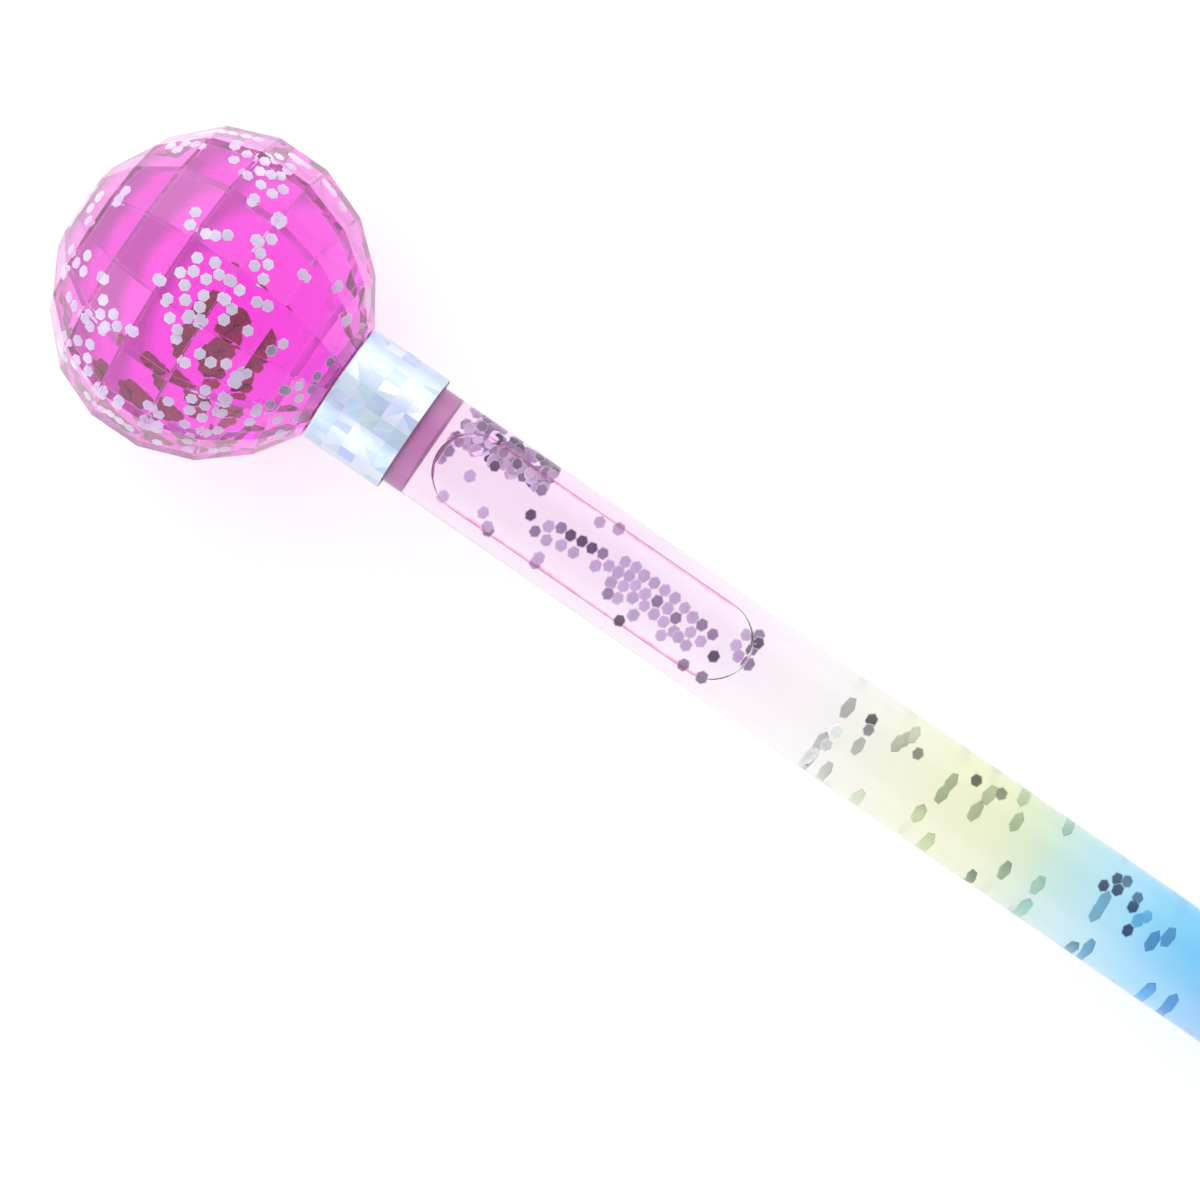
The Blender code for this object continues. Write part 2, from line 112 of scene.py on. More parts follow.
class WandSizes(bpy.types.PropertyGroup):
    ball_across: length_setting(
        "Ball across", "Radius of the ellipse that the ball's facet corners lie on, across the wand",
        22.9, 15, 30)
    ball_along: length_setting("Ball along", "Radius of that ellipse along the wand", 21.8, 15, 30)
    front_flatten: plain_setting(
        FloatProperty, "Front flatten", "How far out the front rings stand, as a share", 0.96, 0.8, 1.0)
    front_narrow: plain_setting(
        FloatProperty, "Front narrow", "Width of the two smallest front rings, as a share", 0.965, 0.8, 1.0)
    ball_wall: length_setting("Ball wall", "Thickness of the gem ball's clear plastic", 2.2, 1, 4)
    facet_edge: length_setting(
        "Facet edge", "Rounding of the edges between the moulded facets", 0.035, 0.01, 0.3)
    ball_sides: plain_setting(IntProperty, "Ball sides", "Facets round the ball", 16, 8, 32)
    ball_bands: plain_setting(IntProperty, "Ball bands", "Rows of facets from pole to pole", 9, 5, 15)
    tube_wall: length_setting("Tube wall", "Thickness of the clear tube", 1.25, 0.6, 2)
    bubble_length: length_setting("Bubble length", "Length of the air bubble along the tube", 49.7, 10, 80)
    bubble_half_width: length_setting(
        "Bubble half width", "From the bubble's middle line to its rounded side", 4.95, 2, 5.6)
    bubble_level: length_setting(
        "Bubble level", "Height of the liquid under the bubble, above the tube's axis", 3.2, 1, 4.5)
    flake_flats: length_setting("Flake size", "Width of a hexagonal flake across its flats", 1.55, 0.8, 2.5)
    flake_thickness: length_setting("Flake thickness", "Thickness of the glitter film", 0.07, 0.03, 0.2)
    prism_square: length_setting("Prism square", "Side of one square of the holographic tape", 2.35, 1, 4)


class WandColours(bpy.types.PropertyGroup):
    ball_fill_tint: colour_setting(
        "Ball liquid", "Colour that the ball's liquid lets through", (1.0, 0.03, 0.93))
    ball_fill_depth: plain_setting(
        FloatProperty, "Ball liquid depth", "How strongly the ball's liquid takes up light, per metre",
        100.0, 0.0, 400.0)
    plug_pink: colour_setting("Head plug", "Pink of the plug behind the collar", (1.0, 0.50, 0.92))
    flake_pale: colour_setting("Flakes at the wall", "Pale side of the glitter film", (0.86, 0.90, 1.0))
    # painted shade: the ball's flakes show this dark magenta on their inner sides, as if in shade behind the
    # liquid
    flake_painted_shade: colour_setting(
        "Flakes in shade", "Side of the ball's glitter film that faces inwards", (0.32, 0.04, 0.15))


# Meshes

def build_mesh(name, vertices, faces, finishes, finish_of=None, smooth=False):
    """A new mesh object from corners in the wand's axes and their faces."""
    mesh = bpy.data.meshes.new(name)
    mesh.from_pydata(vertices, [], faces)
    for finish in finishes:
        mesh.materials.append(finish)
    if finish_of:
        mesh.polygons.foreach_set("material_index", finish_of)
    mesh.polygons.foreach_set("use_smooth", [smooth] * len(faces))
    mesh.transform(WAND)
    mesh.update()
    piece = bpy.data.objects.new(name, mesh)
    bpy.context.scene.collection.objects.link(piece)
    return piece


def settle(piece, body, slot, *nodes):
    """Lets a finished piece ride on its body and stand for its CAD nodes. Its slot is not used."""
    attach(piece, body)
    if nodes:
        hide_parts(*nodes)
    return piece


def lathe(profile, sides, turn=0.0, closed=False):
    """Corners and faces of an outline (place, radius) turned round the wand's axis."""
    vertices, rings, faces, bands = [], [], [], []
    for place, radius in profile:
        if radius < 1e-7:
            rings.append([len(vertices)])
            vertices.append((place, 0.0, 0.0))
            continue
        rings.append(list(range(len(vertices), len(vertices) + sides)))
        for side in range(sides):
            angle = turn + 2.0 * math.pi * side / sides
            vertices.append((place, radius * math.sin(angle), radius * math.cos(angle)))
    count = len(profile)
    for band in range(count if closed else count - 1):
        first, second = rings[band], rings[(band + 1) % count]
        for side in range(sides):
            after = (side + 1) % sides
            corners = [first[side % len(first)], first[after % len(first)],
                       second[after % len(second)], second[side % len(second)]]
            corners = list(dict.fromkeys(corners))
            if len(corners) > 2:
                faces.append(corners)
                bands.append(band)
    return vertices, faces, bands


def face_out(piece, weld=0.0):
    """Makes every face of a closed piece look outwards. Corners nearer than the weld are joined first."""
    form = bmesh.new()
    form.from_mesh(piece.data)
    if weld:
        bmesh.ops.remove_doubles(form, verts=form.verts, dist=weld)
    bmesh.ops.recalc_face_normals(form, faces=form.faces)
    if form.calc_volume(signed=True) < 0.0:
        bmesh.ops.reverse_faces(form, faces=form.faces)
    form.to_mesh(piece.data)
    form.free()


def soften_edges(piece, width, least, most, segments=2):
    """Rounds the edges whose faces meet at an angle between two limits, in degrees."""
    form = bmesh.new()
    form.from_mesh(piece.data)
    edges = [edge for edge in form.edges
             if len(edge.link_faces) == 2 and least < math.degrees(edge.calc_face_angle()) < most]
    bmesh.ops.bevel(form, geom=edges, offset=width, segments=segments, profile=0.5, affect="EDGES",
                    clamp_overlap=True)
    form.to_mesh(piece.data)
    form.free()


def smooth_by_angle(piece, angle):
    """Smooth shading, kept sharp where faces meet at more than an angle in degrees."""
    form = bmesh.new()
    form.from_mesh(piece.data)
    for face in form.faces:
        face.smooth = True
    for edge in form.edges:
        sharp = len(edge.link_faces) == 2 and math.degrees(edge.calc_face_angle()) > angle
        edge.smooth = not sharp
    form.to_mesh(piece.data)
    form.free()


def gem_outline(across, along, start, end, bands):
    """Rings of a faceted ball between two planes, front to rear, as in the CAD."""
    step = math.pi / bands

    def ring(index):
        return -along * math.cos(index * step), across * math.sin(index * step)

    def radius_at(place):
        band = min(int(math.acos(max(-1.0, min(1.0, -place / along))) / step), bands - 1)
        (first, first_radius), (second, second_radius) = ring(band), ring(band + 1)
        return first_radius + (second_radius - first_radius) * (place - first) / (second - first)

    between = [ring(index) for index in range(bands + 1) if start + 5e-5 < ring(index)[0] < end - 5e-5]
    return [(start, radius_at(start)), *between, (end, radius_at(end))]


# Finishes

# Refractive index of the clear moulded plastic
PLASTIC_BEND = 1.49


class NodeTree:
    """The shader nodes of a material or a world, put together node by node."""

    def __init__(self, owner, output):
        owner.use_nodes = True
        self.owner, self.tree = owner, owner.node_tree
        self.tree.nodes.clear()
        self.output = self.tree.nodes.new("ShaderNode" + output)

    def node(self, kind, inputs=None, **settings):
        node = self.tree.nodes.new("ShaderNode" + kind)
        for key, value in settings.items():
            setattr(node, key, value)
        for key, value in (inputs or {}).items():
            self.put(value, node.inputs[key])
        return node

    def put(self, value, socket):
        if isinstance(value, bpy.types.NodeSocket):
            self.tree.links.new(value, socket)
        elif isinstance(value, bpy.types.Node):
            self.tree.links.new(value.outputs[0], socket)
        elif socket.type == "RGBA" and not isinstance(value, (int, float)) and len(value) == 3:
            socket.default_value = (*value, 1.0)
        else:
            socket.default_value = value

    def math(self, operation, first, second=0.0, clamp=False):
        return self.node("Math", {0: first, 1: second}, operation=operation, use_clamp=clamp).outputs[0]

    def times(self, first, second):
        return self.math("MULTIPLY", first, second)

    def plus(self, first, second):
        return self.math("ADD", first, second)

    def minus(self, first, second):
        return self.math("SUBTRACT", first, second)

    def mix(self, factor, first, second, blend="MIX"):
        return self.node("MixRGB", {0: factor, 1: first, 2: second}, blend_type=blend).outputs[0]

    def between(self, value, low, high, at_low, at_high, way="LINEAR"):
        """Takes a value from one range to another and keeps it inside."""
        return self.node("MapRange", {0: value, 1: low, 2: high, 3: at_low, 4: at_high},
                         interpolation_type=way).outputs[0]

    def noise(self, where, scale, detail, **more):
        return self.node("TexNoise", {"Vector": where, "Scale": scale, "Detail": detail, **more}).outputs[0]

    def bump(self, height, strength, distance):
        return self.node("Bump", {"Strength": strength, "Distance": distance, "Height": height}).outputs[0]

    def ramp(self, factor, stops, interpolation="LINEAR"):
        node = self.node("ValToRGB", {0: factor})
        elements = node.color_ramp.elements
        node.color_ramp.interpolation = interpolation
        while len(elements) < len(stops):
            elements.new(0.5)
        for element, (place, colour) in zip(elements, stops):
            element.position = place
            element.color = (*colour, 1.0)
        return node.outputs[0]

    def done(self, surface, volume=None):
        self.tree.links.new(surface.outputs[0], self.output.inputs["Surface"])
        if volume:
            self.tree.links.new(volume.outputs[0], self.output.inputs["Volume"])
        return self.owner


class Finish(NodeTree):
    """A material."""

    def __init__(self, name):
        super().__init__(bpy.data.materials.new(name), "OutputMaterial")

    def place(self):
        """Sockets of the place on the piece in the wand's axes: all three, along, across, up."""
        where = self.node("Mapping", {
            "Vector": self.node("TexCoord").outputs["Object"], "Location": WAND.translation,
            "Rotation": WAND.to_euler()}, vector_type="TEXTURE").outputs[0]
        parts = self.node("SeparateXYZ", {0: where})
        return where, parts.outputs[0], parts.outputs[1], parts.outputs[2]

    def principled(self, colour, rough, bend, others):
        """The finished material. The other inputs are given by their names."""
        return self.done(self.node("BsdfPrincipled", {
            "Base Color": colour, "Roughness": rough, "IOR": bend, **others}))


def linear(red, green, blue):
    """Linear colour of an sRGB colour given in 0 to 255."""
    return tuple(((value / 255.0 + 0.055) / 1.055) ** 2.4 if value > 10 else value / 255.0 / 12.92
                 for value in (red, green, blue))


def shaded(colour, share):
    """A colour taken down to a share of itself."""
    return tuple(share * channel for channel in colour)


def gem_plastic():
    """Clear moulded plastic of the ball, with faint flow lines, handling marks and a second, soft gloss."""
    finish = Finish("gem_clear_plastic")
    where, *_ = finish.place()
    flow = finish.noise(where, 90.0, 2.0, Distortion=1.4)
    marks = finish.noise(where, 900.0, 3.0, Roughness=0.7)
    tint = finish.mix(flow, (1.0, 0.985, 1.0), (0.99, 0.965, 0.995))
    return finish.principled(tint, finish.between(marks, 0.55, 0.8, 0.0, 0.05), PLASTIC_BEND, {
        "Transmission Weight": 1.0, "Coat Weight": 0.8, "Coat Roughness": 0.24, "Coat IOR": 1.55,
        "Normal": finish.bump(flow, 0.05, 0.00004)})


def gem_cap_plastic():
    """Clear moulded plastic of the tail cap."""
    finish = Finish("cap_clear_plastic")
    where, *_ = finish.place()
    flow = finish.noise(where, 150.0, 2.0, Distortion=1.0)
    tint = finish.mix(flow, (0.98, 0.965, 0.985), (0.965, 0.95, 0.985))
    return finish.principled(tint, 0.01, PLASTIC_BEND, {
        "Transmission Weight": 1.0, "Normal": finish.bump(flow, 0.05, 0.00004)})


def wetted_wall(name):
    """The inside of a clear wall where liquid touches it: a weak step in refraction."""
    finish = Finish(name)
    where, *_ = finish.place()
    tint = (1.0, 0.99, 1.0)
    shade = finish.mix(finish.noise(where, 120.0, 1.0), tint, shaded(tint, 0.97))
    return finish.principled(shade, 0.0, 1.096, {"Transmission Weight": 1.0})


def dyed_liquid(name, tint, depth):
    """A clear dyed liquid: light passes its skin straight and is taken up on its way through."""
    finish = Finish(name)
    volume = finish.node("VolumeAbsorption", {"Color": tint, "Density": depth})
    return finish.done(finish.node("BsdfTransparent", {"Color": (1.0, 1.0, 1.0)}), volume)


def bubble_skin(half_width):
    """The liquid's surface round the air bubble. The dyed film along its two long edges shows pink."""
    finish = Finish("bubble_skin")
    where, _, across, _ = finish.place()
    film = finish.noise(where, 420.0, 2.0)
    clear = finish.mix(film, (1.0, 0.99, 1.0), (0.99, 0.97, 0.99))
    from_middle = finish.plus(finish.math("ABSOLUTE", across), finish.times(film, 0.0006))
    pink = finish.between(from_middle, half_width - 0.0001, half_width + 0.0004, 0.0, 1.0)
    shade = finish.mix(pink, clear, (0.95, 0.46, 0.74))
    return finish.done(finish.node("BsdfGlass", {"Color": shade, "Roughness": 0.0, "IOR": 0.87}))


def glitter_film(name, pale, shade, metal=0.8, dyed=False):
    """Hexagonal glitter film. The flakes carry a tone, a rim mark, an inner side mark and a random number."""
    finish = Finish(name)
    marks = finish.node("Attribute", attribute_name="film", attribute_type="GEOMETRY")
    parts = finish.node("SeparateColor", {0: marks.outputs["Color"]})
    tone, rim, inner = parts.outputs[0], parts.outputs[1], parts.outputs[2]
    where, along, *_ = finish.place()
    speck = finish.noise(where, 2600.0, 2.0)
    cool = finish.mix(marks.outputs["Alpha"], pale, shaded(pale, 0.90))
    grain = finish.mix(finish.times(speck, 0.22), cool, shaded(pale, 0.86))
    toned = finish.ramp(tone, [(0.0, (0.97, 0.97, 1.0)), (0.33, (1.0, 1.0, 1.0)),
                               (0.66, (0.50, 0.47, 0.55)), (1.0, (0.20, 0.15, 0.23))])
    # painted shade: the inner side of each flake takes the shade colour in place of its pale, toned colour
    painted_shade_side = finish.mix(inner, finish.mix(1.0, grain, toned, "MULTIPLY"), shade)
    # painted highlight: each flake's rim is painted near white, strongest on its upper side and faint on its
    # inner side
    bright = finish.times(rim, finish.minus(0.75, finish.times(inner, 0.66)))
    with_rim_highlight = finish.mix(bright, painted_shade_side, (0.95, 0.96, 1.0))
    if dyed:
        # light that comes up through the tube's wall is dyed before it meets these flakes
        with_rim_highlight = finish.mix(0.8, with_rim_highlight, fade_along(finish, along), "MULTIPLY")
    return finish.principled(with_rim_highlight, 0.42, 1.5, {"Metallic": metal})


def prism_tape(square):
    """Holographic tape: squares cut into small prisms, each tilted and tinted its own way."""
    finish = Finish("prism_tape")
    _, along, across, up = finish.place()
    round_way = finish.plus(finish.times(finish.math("ARCTAN2", across, up), FOIL_RADIUS / square), 0.35)
    along_way = finish.times(along, 1.0 / square)
    row, column = finish.math("FLOOR", round_way), finish.math("FLOOR", along_way)
    inside_x = finish.minus(finish.math("FRACT", along_way), 0.5)
    inside_y = finish.minus(finish.math("FRACT", round_way), 0.5)

    def chances(layer):
        """A random value, and three random channels, for each square of a layer."""
        cell = finish.node("CombineXYZ", {0: column, 1: row, 2: layer})
        noise = finish.node("TexWhiteNoise", {"Vector": cell.outputs[0]}, noise_dimensions="3D")
        return noise.outputs["Value"], finish.node("SeparateColor", {0: noise.outputs["Color"]})

    square_chance, cut = chances(3.0)
    slope = finish.times(finish.minus(cut.outputs[0], 0.5), 3.2)
    shift = finish.times(finish.minus(cut.outputs[1], 0.5), 0.5)
    above = finish.math("GREATER_THAN", finish.minus(inside_y, finish.times(slope, inside_x)), shift)
    wedge_chance, leans = chances(finish.plus(above, 7.0))
    tints = [(0.0, linear(238, 245, 253)), (0.20, linear(212, 226, 247)), (0.34, linear(245, 247, 251)),
             (0.50, linear(203, 211, 240)), (0.58, linear(228, 243, 250)), (0.70, linear(209, 229, 230)),
             (0.78, linear(242, 239, 251)), (0.88, linear(198, 222, 246)), (0.94, linear(250, 252, 254))]
    square_tint = finish.ramp(square_chance, tints, "CONSTANT")
    wedge_tint = finish.ramp(wedge_chance, tints, "CONSTANT")
    height = finish.plus(finish.times(finish.minus(leans.outputs[0], 0.5), inside_x),
                         finish.times(finish.minus(leans.outputs[1], 0.5), inside_y))
    share = finish.math("ADD", finish.times(height, 1.2), 0.42, True)
    tint = finish.mix(1.0, finish.mix(share, square_tint, wedge_tint), (0.76, 0.81, 0.90), "MULTIPLY")
    return finish.principled(tint, 0.30, 1.5, {"Metallic": 0.80, "Normal": finish.bump(height, 0.5, 0.0007)})


# Place along the wand in millimetres, and the colour there
TUBE_FADE = [
    (20, (246, 196, 232)), (36, (250, 222, 244)), (45, (252, 230, 249)), (63, (250, 232, 249)),
    (85, (253, 243, 253)), (97, (252, 250, 251)), (104, (248, 249, 238)), (112, (246, 250, 222)),
    (119, (244, 250, 208)), (126, (238, 248, 204)), (132, (222, 242, 205)), (138, (200, 238, 228)),
    (145, (180, 234, 250)), (152, (142, 220, 253)), (158, (120, 210, 253)), (176, (88, 178, 250)),
    (205, (120, 140, 246)), (235, (214, 158, 240)), (258, (248, 190, 230)), (285, (252, 230, 246)),
]


def fade_along(finish, along):
    """The colours that the tube takes on along the wand."""
    first, last = TUBE_FADE[0][0] * MM, TUBE_FADE[-1][0] * MM
    share = finish.times(finish.minus(along, first), 1.0 / (last - first))
    return finish.ramp(share, [((place * MM - first) / (last - first), linear(*colour))
                               for place, colour in TUBE_FADE])


def faded_tube():
    """Clear tube whose tint fades along it: pink, clear, yellow, green, blue, violet, pink."""
    finish = Finish("faded_tube_plastic")
    where, along, across, _ = finish.place()
    ripple = finish.times(finish.minus(finish.noise(where, 60.0, 1.0), 0.5), 0.006)
    tint = fade_along(finish, finish.plus(along, ripple))
    strength = finish.between(across, -TUBE_RADIUS, TUBE_RADIUS, 0.62, 1.25)
    marks = finish.noise(where, 700.0, 3.0, Roughness=0.7)
    return finish.principled(
        finish.mix(strength, (1.0, 1.0, 1.0), tint), finish.between(marks, 0.6, 0.85, 0.0, 0.04),
        PLASTIC_BEND, {"Transmission Weight": 1.0})


def moulded_plastic(name, colour, other, rough, clearness=0.0, bend=1.46):
    """Moulded plastic with a faint cloudy colour and a fine grain."""
    finish = Finish(name)
    where, *_ = finish.place()
    shade = finish.mix(finish.noise(where, 160.0, 3.0), colour, other)
    grain = finish.noise(where, 500.0, 2.0)
    roughness = finish.between(grain, 0.3, 0.7, rough * 0.8, rough * 1.25)
    return finish.principled(shade, roughness, bend, {
        "Transmission Weight": clearness, "Normal": finish.bump(grain, 0.12, 0.00005)})


# Flakes

class FlakeHeap:
    """Collects hexagonal flakes and turns them into one mesh with a tone for each flake."""

    def __init__(self, flats, thickness):
        self.radius = flats / math.sqrt(3.0)
        self.half = thickness / 2.0
        self.vertices, self.faces, self.marks = [], [], []

    def add(self, point, normal, turn, tone, chance, width=1.0):
        """One flake. Its inner side looks against the normal."""
        normal = normal.normalized()
        side = normal.orthogonal().normalized()
        other = normal.cross(side)
        start = len(self.vertices)
        rim_share = 0.86
        for height, share in ((0.45, 1.0), (1.0, rim_share), (-0.45, 1.0), (-1.0, rim_share)):
            spread = self.radius * width * share
            lift = normal * (self.half * height)
            for corner in range(6):
                angle = turn + corner * math.pi / 3.0
                flat_place = point + side * (spread * math.cos(angle)) + other * (spread * math.sin(angle))
                self.vertices.append(flat_place + lift)
        top_rim, top, low_rim, low = (range(start + 6 * row, start + 6 * row + 6) for row in range(4))
        self._face(list(top), tone, 0.0, 0.0, chance)
        self._face(list(reversed(low)), tone, 0.0, 1.0, chance)
        for corner in range(6):
            after = (corner + 1) % 6
            for near, far, inner in ((top_rim, top, 0.0), (low, low_rim, 1.0), (low_rim, top_rim, 0.5)):
                self._face([near[corner], near[after], far[after], far[corner]], tone, 1.0, inner, chance)

    def _face(self, corners, tone, rim, inner, chance):
        self.faces.append(corners)
        self.marks.append((tone / 3.0, rim, inner, chance))

    def finish(self, name, material):
        piece = build_mesh(name, self.vertices, self.faces, [material])
        layer = piece.data.color_attributes.new("film", "FLOAT_COLOR", "CORNER")
        values = []
        for face, mark in zip(self.faces, self.marks):
            values.extend(mark * len(face))
        layer.data.foreach_set("color", values)
        return piece


# Tones of the flakes below: 0 pale, 1 bright, 2 grey, 3 dark. All their places are in millimetres

# Ball flakes against the upper wall: along the wand, across it, tone
WALL_FLAKES = [
    (-13.6, 12.3, 0), (-12.4, 12.4, 0), (-12.0, 13.7, 0), (-10.6, 14.2, 0), (-11.2, 15.7, 0), (-10.0, 16.8, 1),
    (-8.6, 17.8, 0), (-6.9, 18.4, 0), (-5.3, 19.3, 0), (-1.0, 20.6, 1), (-6.9, 16.9, 0), (-4.8, 16.9, 0),
    (-5.6, 15.2, 0), (-3.0, 17.4, 0), (-2.1, 18.4, 1), (0.0, 19.4, 0), (-0.5, 19.8, 0), (-2.5, 16.0, 0),
    (-3.3, 14.5, 0), (-1.0, 16.4, 0), (-0.0, 17.0, 0), (0.1, 18.3, 0), (0.5, 19.9, 0), (1.2, 19.9, 0),
    (4.0, 19.6, 0), (5.4, 19.2, 0), (7.6, 18.7, 0), (1.5, 15.7, 0), (-1.1, 14.5, 0), (0.8, 14.4, 0),
    (-0.5, 12.4, 0), (3.5, 12.2, 0), (-5.1, 7.0, 0), (-4.6, 5.2, 0), (-2.6, 5.4, 0), (-1.5, 5.9, 0),
    (-0.3, 6.9, 0), (4.1, 9.8, 0), (3.0, 8.5, 0), (4.1, 7.4, 0), (5.7, 6.8, 0), (4.4, 5.6, 0),
    (6.3, 4.9, 0), (-1.7, 2.6, 0), (-1.1, 0.9, 0), (-2.4, -0.2, 0), (0.5, 3.4, 0), (1.8, 2.4, 0),
    (0.8, 1.0, 0), (-1.0, -1.2, 0), (3.2, 2.6, 0), (4.7, 2.3, 0), (1.7, -0.9, 0), (3.9, 0.2, 0),
    (5.3, -0.3, 0), (0.1, -2.7, 0), (-1.9, -3.9, 0), (-4.0, -2.5, 0), (2.1, -2.4, 0), (1.6, -4.1, 0),
    (3.0, -3.7, 0), (5.2, -2.0, 0), (-0.3, -5.4, 0), (7.3, 2.3, 0), (8.7, 2.7, 0), (8.4, -1.4, 1),
    (1.3, -6.1, 0), (1.8, -7.2, 0), (5.0, -7.1, 0), (4.0, -9.1, 0), (6.7, -7.2, 0), (8.4, -6.2, 0),
    (10.8, -5.8, 0), (10.3, -7.6, 0), (10.2, -6.8, 0), (9.9, 8.4, 0), (15.7, 12.3, 0), (13.5, 9.6, 0),
    (16.2, 10.6, 0), (16.3, 6.8, 1), (18.0, 6.8, 0), (12.5, -0.2, 0), (11.8, -1.8, 2), (17.4, -1.1, 2),
    (17.8, 1.5, 2), (17.6, -2.6, 2), (16.3, -3.2, 0), (15.5, -4.7, 2), (17.0, -4.5, 1), (15.1, -7.4, 2),
    (14.0, -8.9, 0), (18.1, -6.3, 0), (16.1, -8.2, 1), (13.9, -10.4, 1), (16.5, -9.5, 1), (7.9, -10.6, 0),
    (6.9, -12.1, 0), (8.8, -11.9, 0), (10.5, -11.5, 0), (10.3, -10.1, 0), (7.4, -13.6, 0), (9.2, -13.4, 0),
    (7.6, -15.5, 0), (4.5, -17.6, 0), (2.9, -16.1, 0), (3.3, -17.9, 0), (4.5, -14.2, 0), (4.1, -16.4, 0),
    (11.0, -13.8, 1), (9.8, -14.9, 1), (8.7, -16.5, 1), (8.9, -17.5, 1), (11.1, -16.4, 1), (12.3, -15.3, 1),
    (5.0, -19.1, 1), (1.7, -19.3, 1), (0.1, -19.3, 1), (-1.5, -19.2, 1), (-0.9, -17.7, 1), (-4.6, -18.9, 0),
    (-3.5, -17.7, 0), (-2.9, -19.2, 0), (-5.9, -16.7, 0), (-8.2, -16.5, 0), (-10.0, -16.3, 0), (-6.8, -15.4, 0),
    (-7.4, -13.8, 0), (-9.2, -14.2, 0), (-10.6, -15.0, 0), (-10.9, -16.4, 0), (-6.7, -11.2, 0), (-5.3, -10.2, 0),
    (-3.5, -9.6, 0), (-8.6, -11.8, 0), (-6.6, -9.2, 0), (-8.2, -10.2, 0), (-9.7, -11.2, 0), (-11.5, -10.9, 0),
    (-8.8, -8.4, 0), (-13.0, -10.4, 0), (-10.3, -6.1, 0), (-15.5, -8.1, 0), (-14.8, -6.5, 0), (-13.9, -4.9, 0),
    (-16.2, -5.5, 0), (-13.1, -6.9, 0), (-14.7, 2.9, 0), (-14.6, 4.3, 0), (-17.2, 2.0, 0), (-17.4, 0.2, 0),
    (-16.4, -1.3, 0),
]

# Flakes that float under the bubble: along, across, tone
RAFT_FLAKES = [
    (51.7, -0.1, 3), (53.4, -1.4, 2), (54.5, 0.0, 0), (56.0, 0.7, 2), (55.3, -1.5, 0), (57.3, -1.0, 0),
    (57.6, 0.6, 3), (59.2, -0.9, 0), (59.3, 0.8, 3), (60.9, 0.8, 3), (62.5, 1.0, 2), (62.6, -0.7, 0),
    (64.1, 0.2, 0), (65.6, 1.7, 0), (67.2, 1.9, 0), (65.6, 0.2, 0), (67.1, 0.6, 0), (68.7, 1.6, 0),
    (65.6, -1.3, 0), (67.2, -0.8, 0), (68.5, 0.1, 0), (70.4, 1.6, 0), (66.1, -2.6, 2), (67.5, -2.4, 0),
    (69.1, -1.3, 0), (70.2, -0.1, 0), (72.1, 1.6, 0), (72.1, 0.0, 2), (73.8, 1.5, 0), (71.0, -1.3, 0),
    (73.8, 0.0, 0), (75.6, 1.2, 0), (70.5, -3.0, 0), (72.7, -1.5, 0), (74.3, -1.6, 0), (75.4, -0.4, 2),
    (77.2, 0.8, 0), (78.8, 0.7, 2), (75.1, -3.1, 0), (76.2, -1.9, 0), (77.1, -2.1, 0), (78.1, -0.8, 0),
    (78.6, -2.4, 0), (79.9, -1.0, 0), (80.7, 0.5, 2), (82.5, -1.6, 3), (84.5, 2.8, 0), (85.2, 0.1, 0),
    (84.1, 1.0, 0), (59.8, 3.9, 0), (62.4, 4.6, 0), (55.8, -3.8, 0), (55.8, -4.8, 0), (69.4, -4.8, 3),
    (79.8, -4.6, 2), (82.8, -4.6, 2), (86.9, 0.0, 2), (86.2, 1.6, 2), (85.9, 3.4, 2), (86.4, 2.6, 3),
    (40.7, -4.2, 0), (46.3, -3.1, 0), (47.8, -4.2, 0), (48.2, -4.9, 2), (42.1, -0.4, 0),
]

# Scattered flakes: along, across as seen, tone, and 1 at the top of the tube or 0 at its bottom
DRIFT_FLAKES = [
    (90.6, -3.4, 0, 1), (97.2, -0.9, 0, 1), (97.3, -3.0, 0, 0), (97.3, -6.1, 2, 0), (98.9, -5.3, 2, 0),
    (102.1, 3.0, 0, 0), (104.8, 3.6, 3, 1), (105.2, 2.1, 2, 1), (106.2, -0.6, 0, 0), (111.0, 3.9, 0, 0),
    (111.6, 5.0, 0, 0), (110.5, 2.9, 0, 0), (112.5, 3.4, 2, 1), (121.1, 5.2, 3, 1), (118.3, -3.5, 3, 0),
    (119.5, 2.6, 1, 0), (119.4, 0.6, 1, 0), (121.5, -6.0, 2, 0), (110.2, -6.5, 1, 0), (104.5, -5.9, 1, 0),
    (124.9, 5.7, 2, 1), (124.8, 4.1, 3, 0), (124.5, 1.2, 3, 0), (129.0, 6.6, 2, 0), (130.0, 3.2, 0, 0),
    (136.4, 6.6, 2, 0), (132.4, -3.2, 2, 0), (137.3, -2.3, 3, 0), (137.6, -5.8, 0, 0), (129.3, -6.4, 2, 0),
    (144.4, 5.0, 3, 1), (143.3, 2.9, 3, 1), (145.2, 3.6, 3, 1), (145.7, 5.6, 2, 1), (148.1, 4.3, 2, 1),
    (148.2, 2.8, 3, 1), (150.5, 2.7, 0, 1), (149.8, 1.5, 0, 1), (146.0, 1.0, 0, 0), (146.1, -0.7, 0, 0),
    (149.4, -0.6, 3, 1), (154.7, 0.3, 0, 0), (156.2, 2.0, 1, 0), (148.0, -5.4, 2, 0), (146.2, -6.5, 2, 0),
    (158.2, -5.5, 0, 0), (161.7, -5.2, 0, 0),
]


def along_limits(word, half):
    """How far along the wand a group's flakes may lie, so that they slide as freely as its CAD clumps."""
    reaches = [reach(name) for name in clumps(word)]
    return min(low for low, *_ in reaches) + half, max(high for _, high, _ in reaches) - half


def lean_of(dice, most):
    """A random lean, no more than so much along each axis."""
    return Vector([dice.uniform(-most, most) for _ in range(3)])


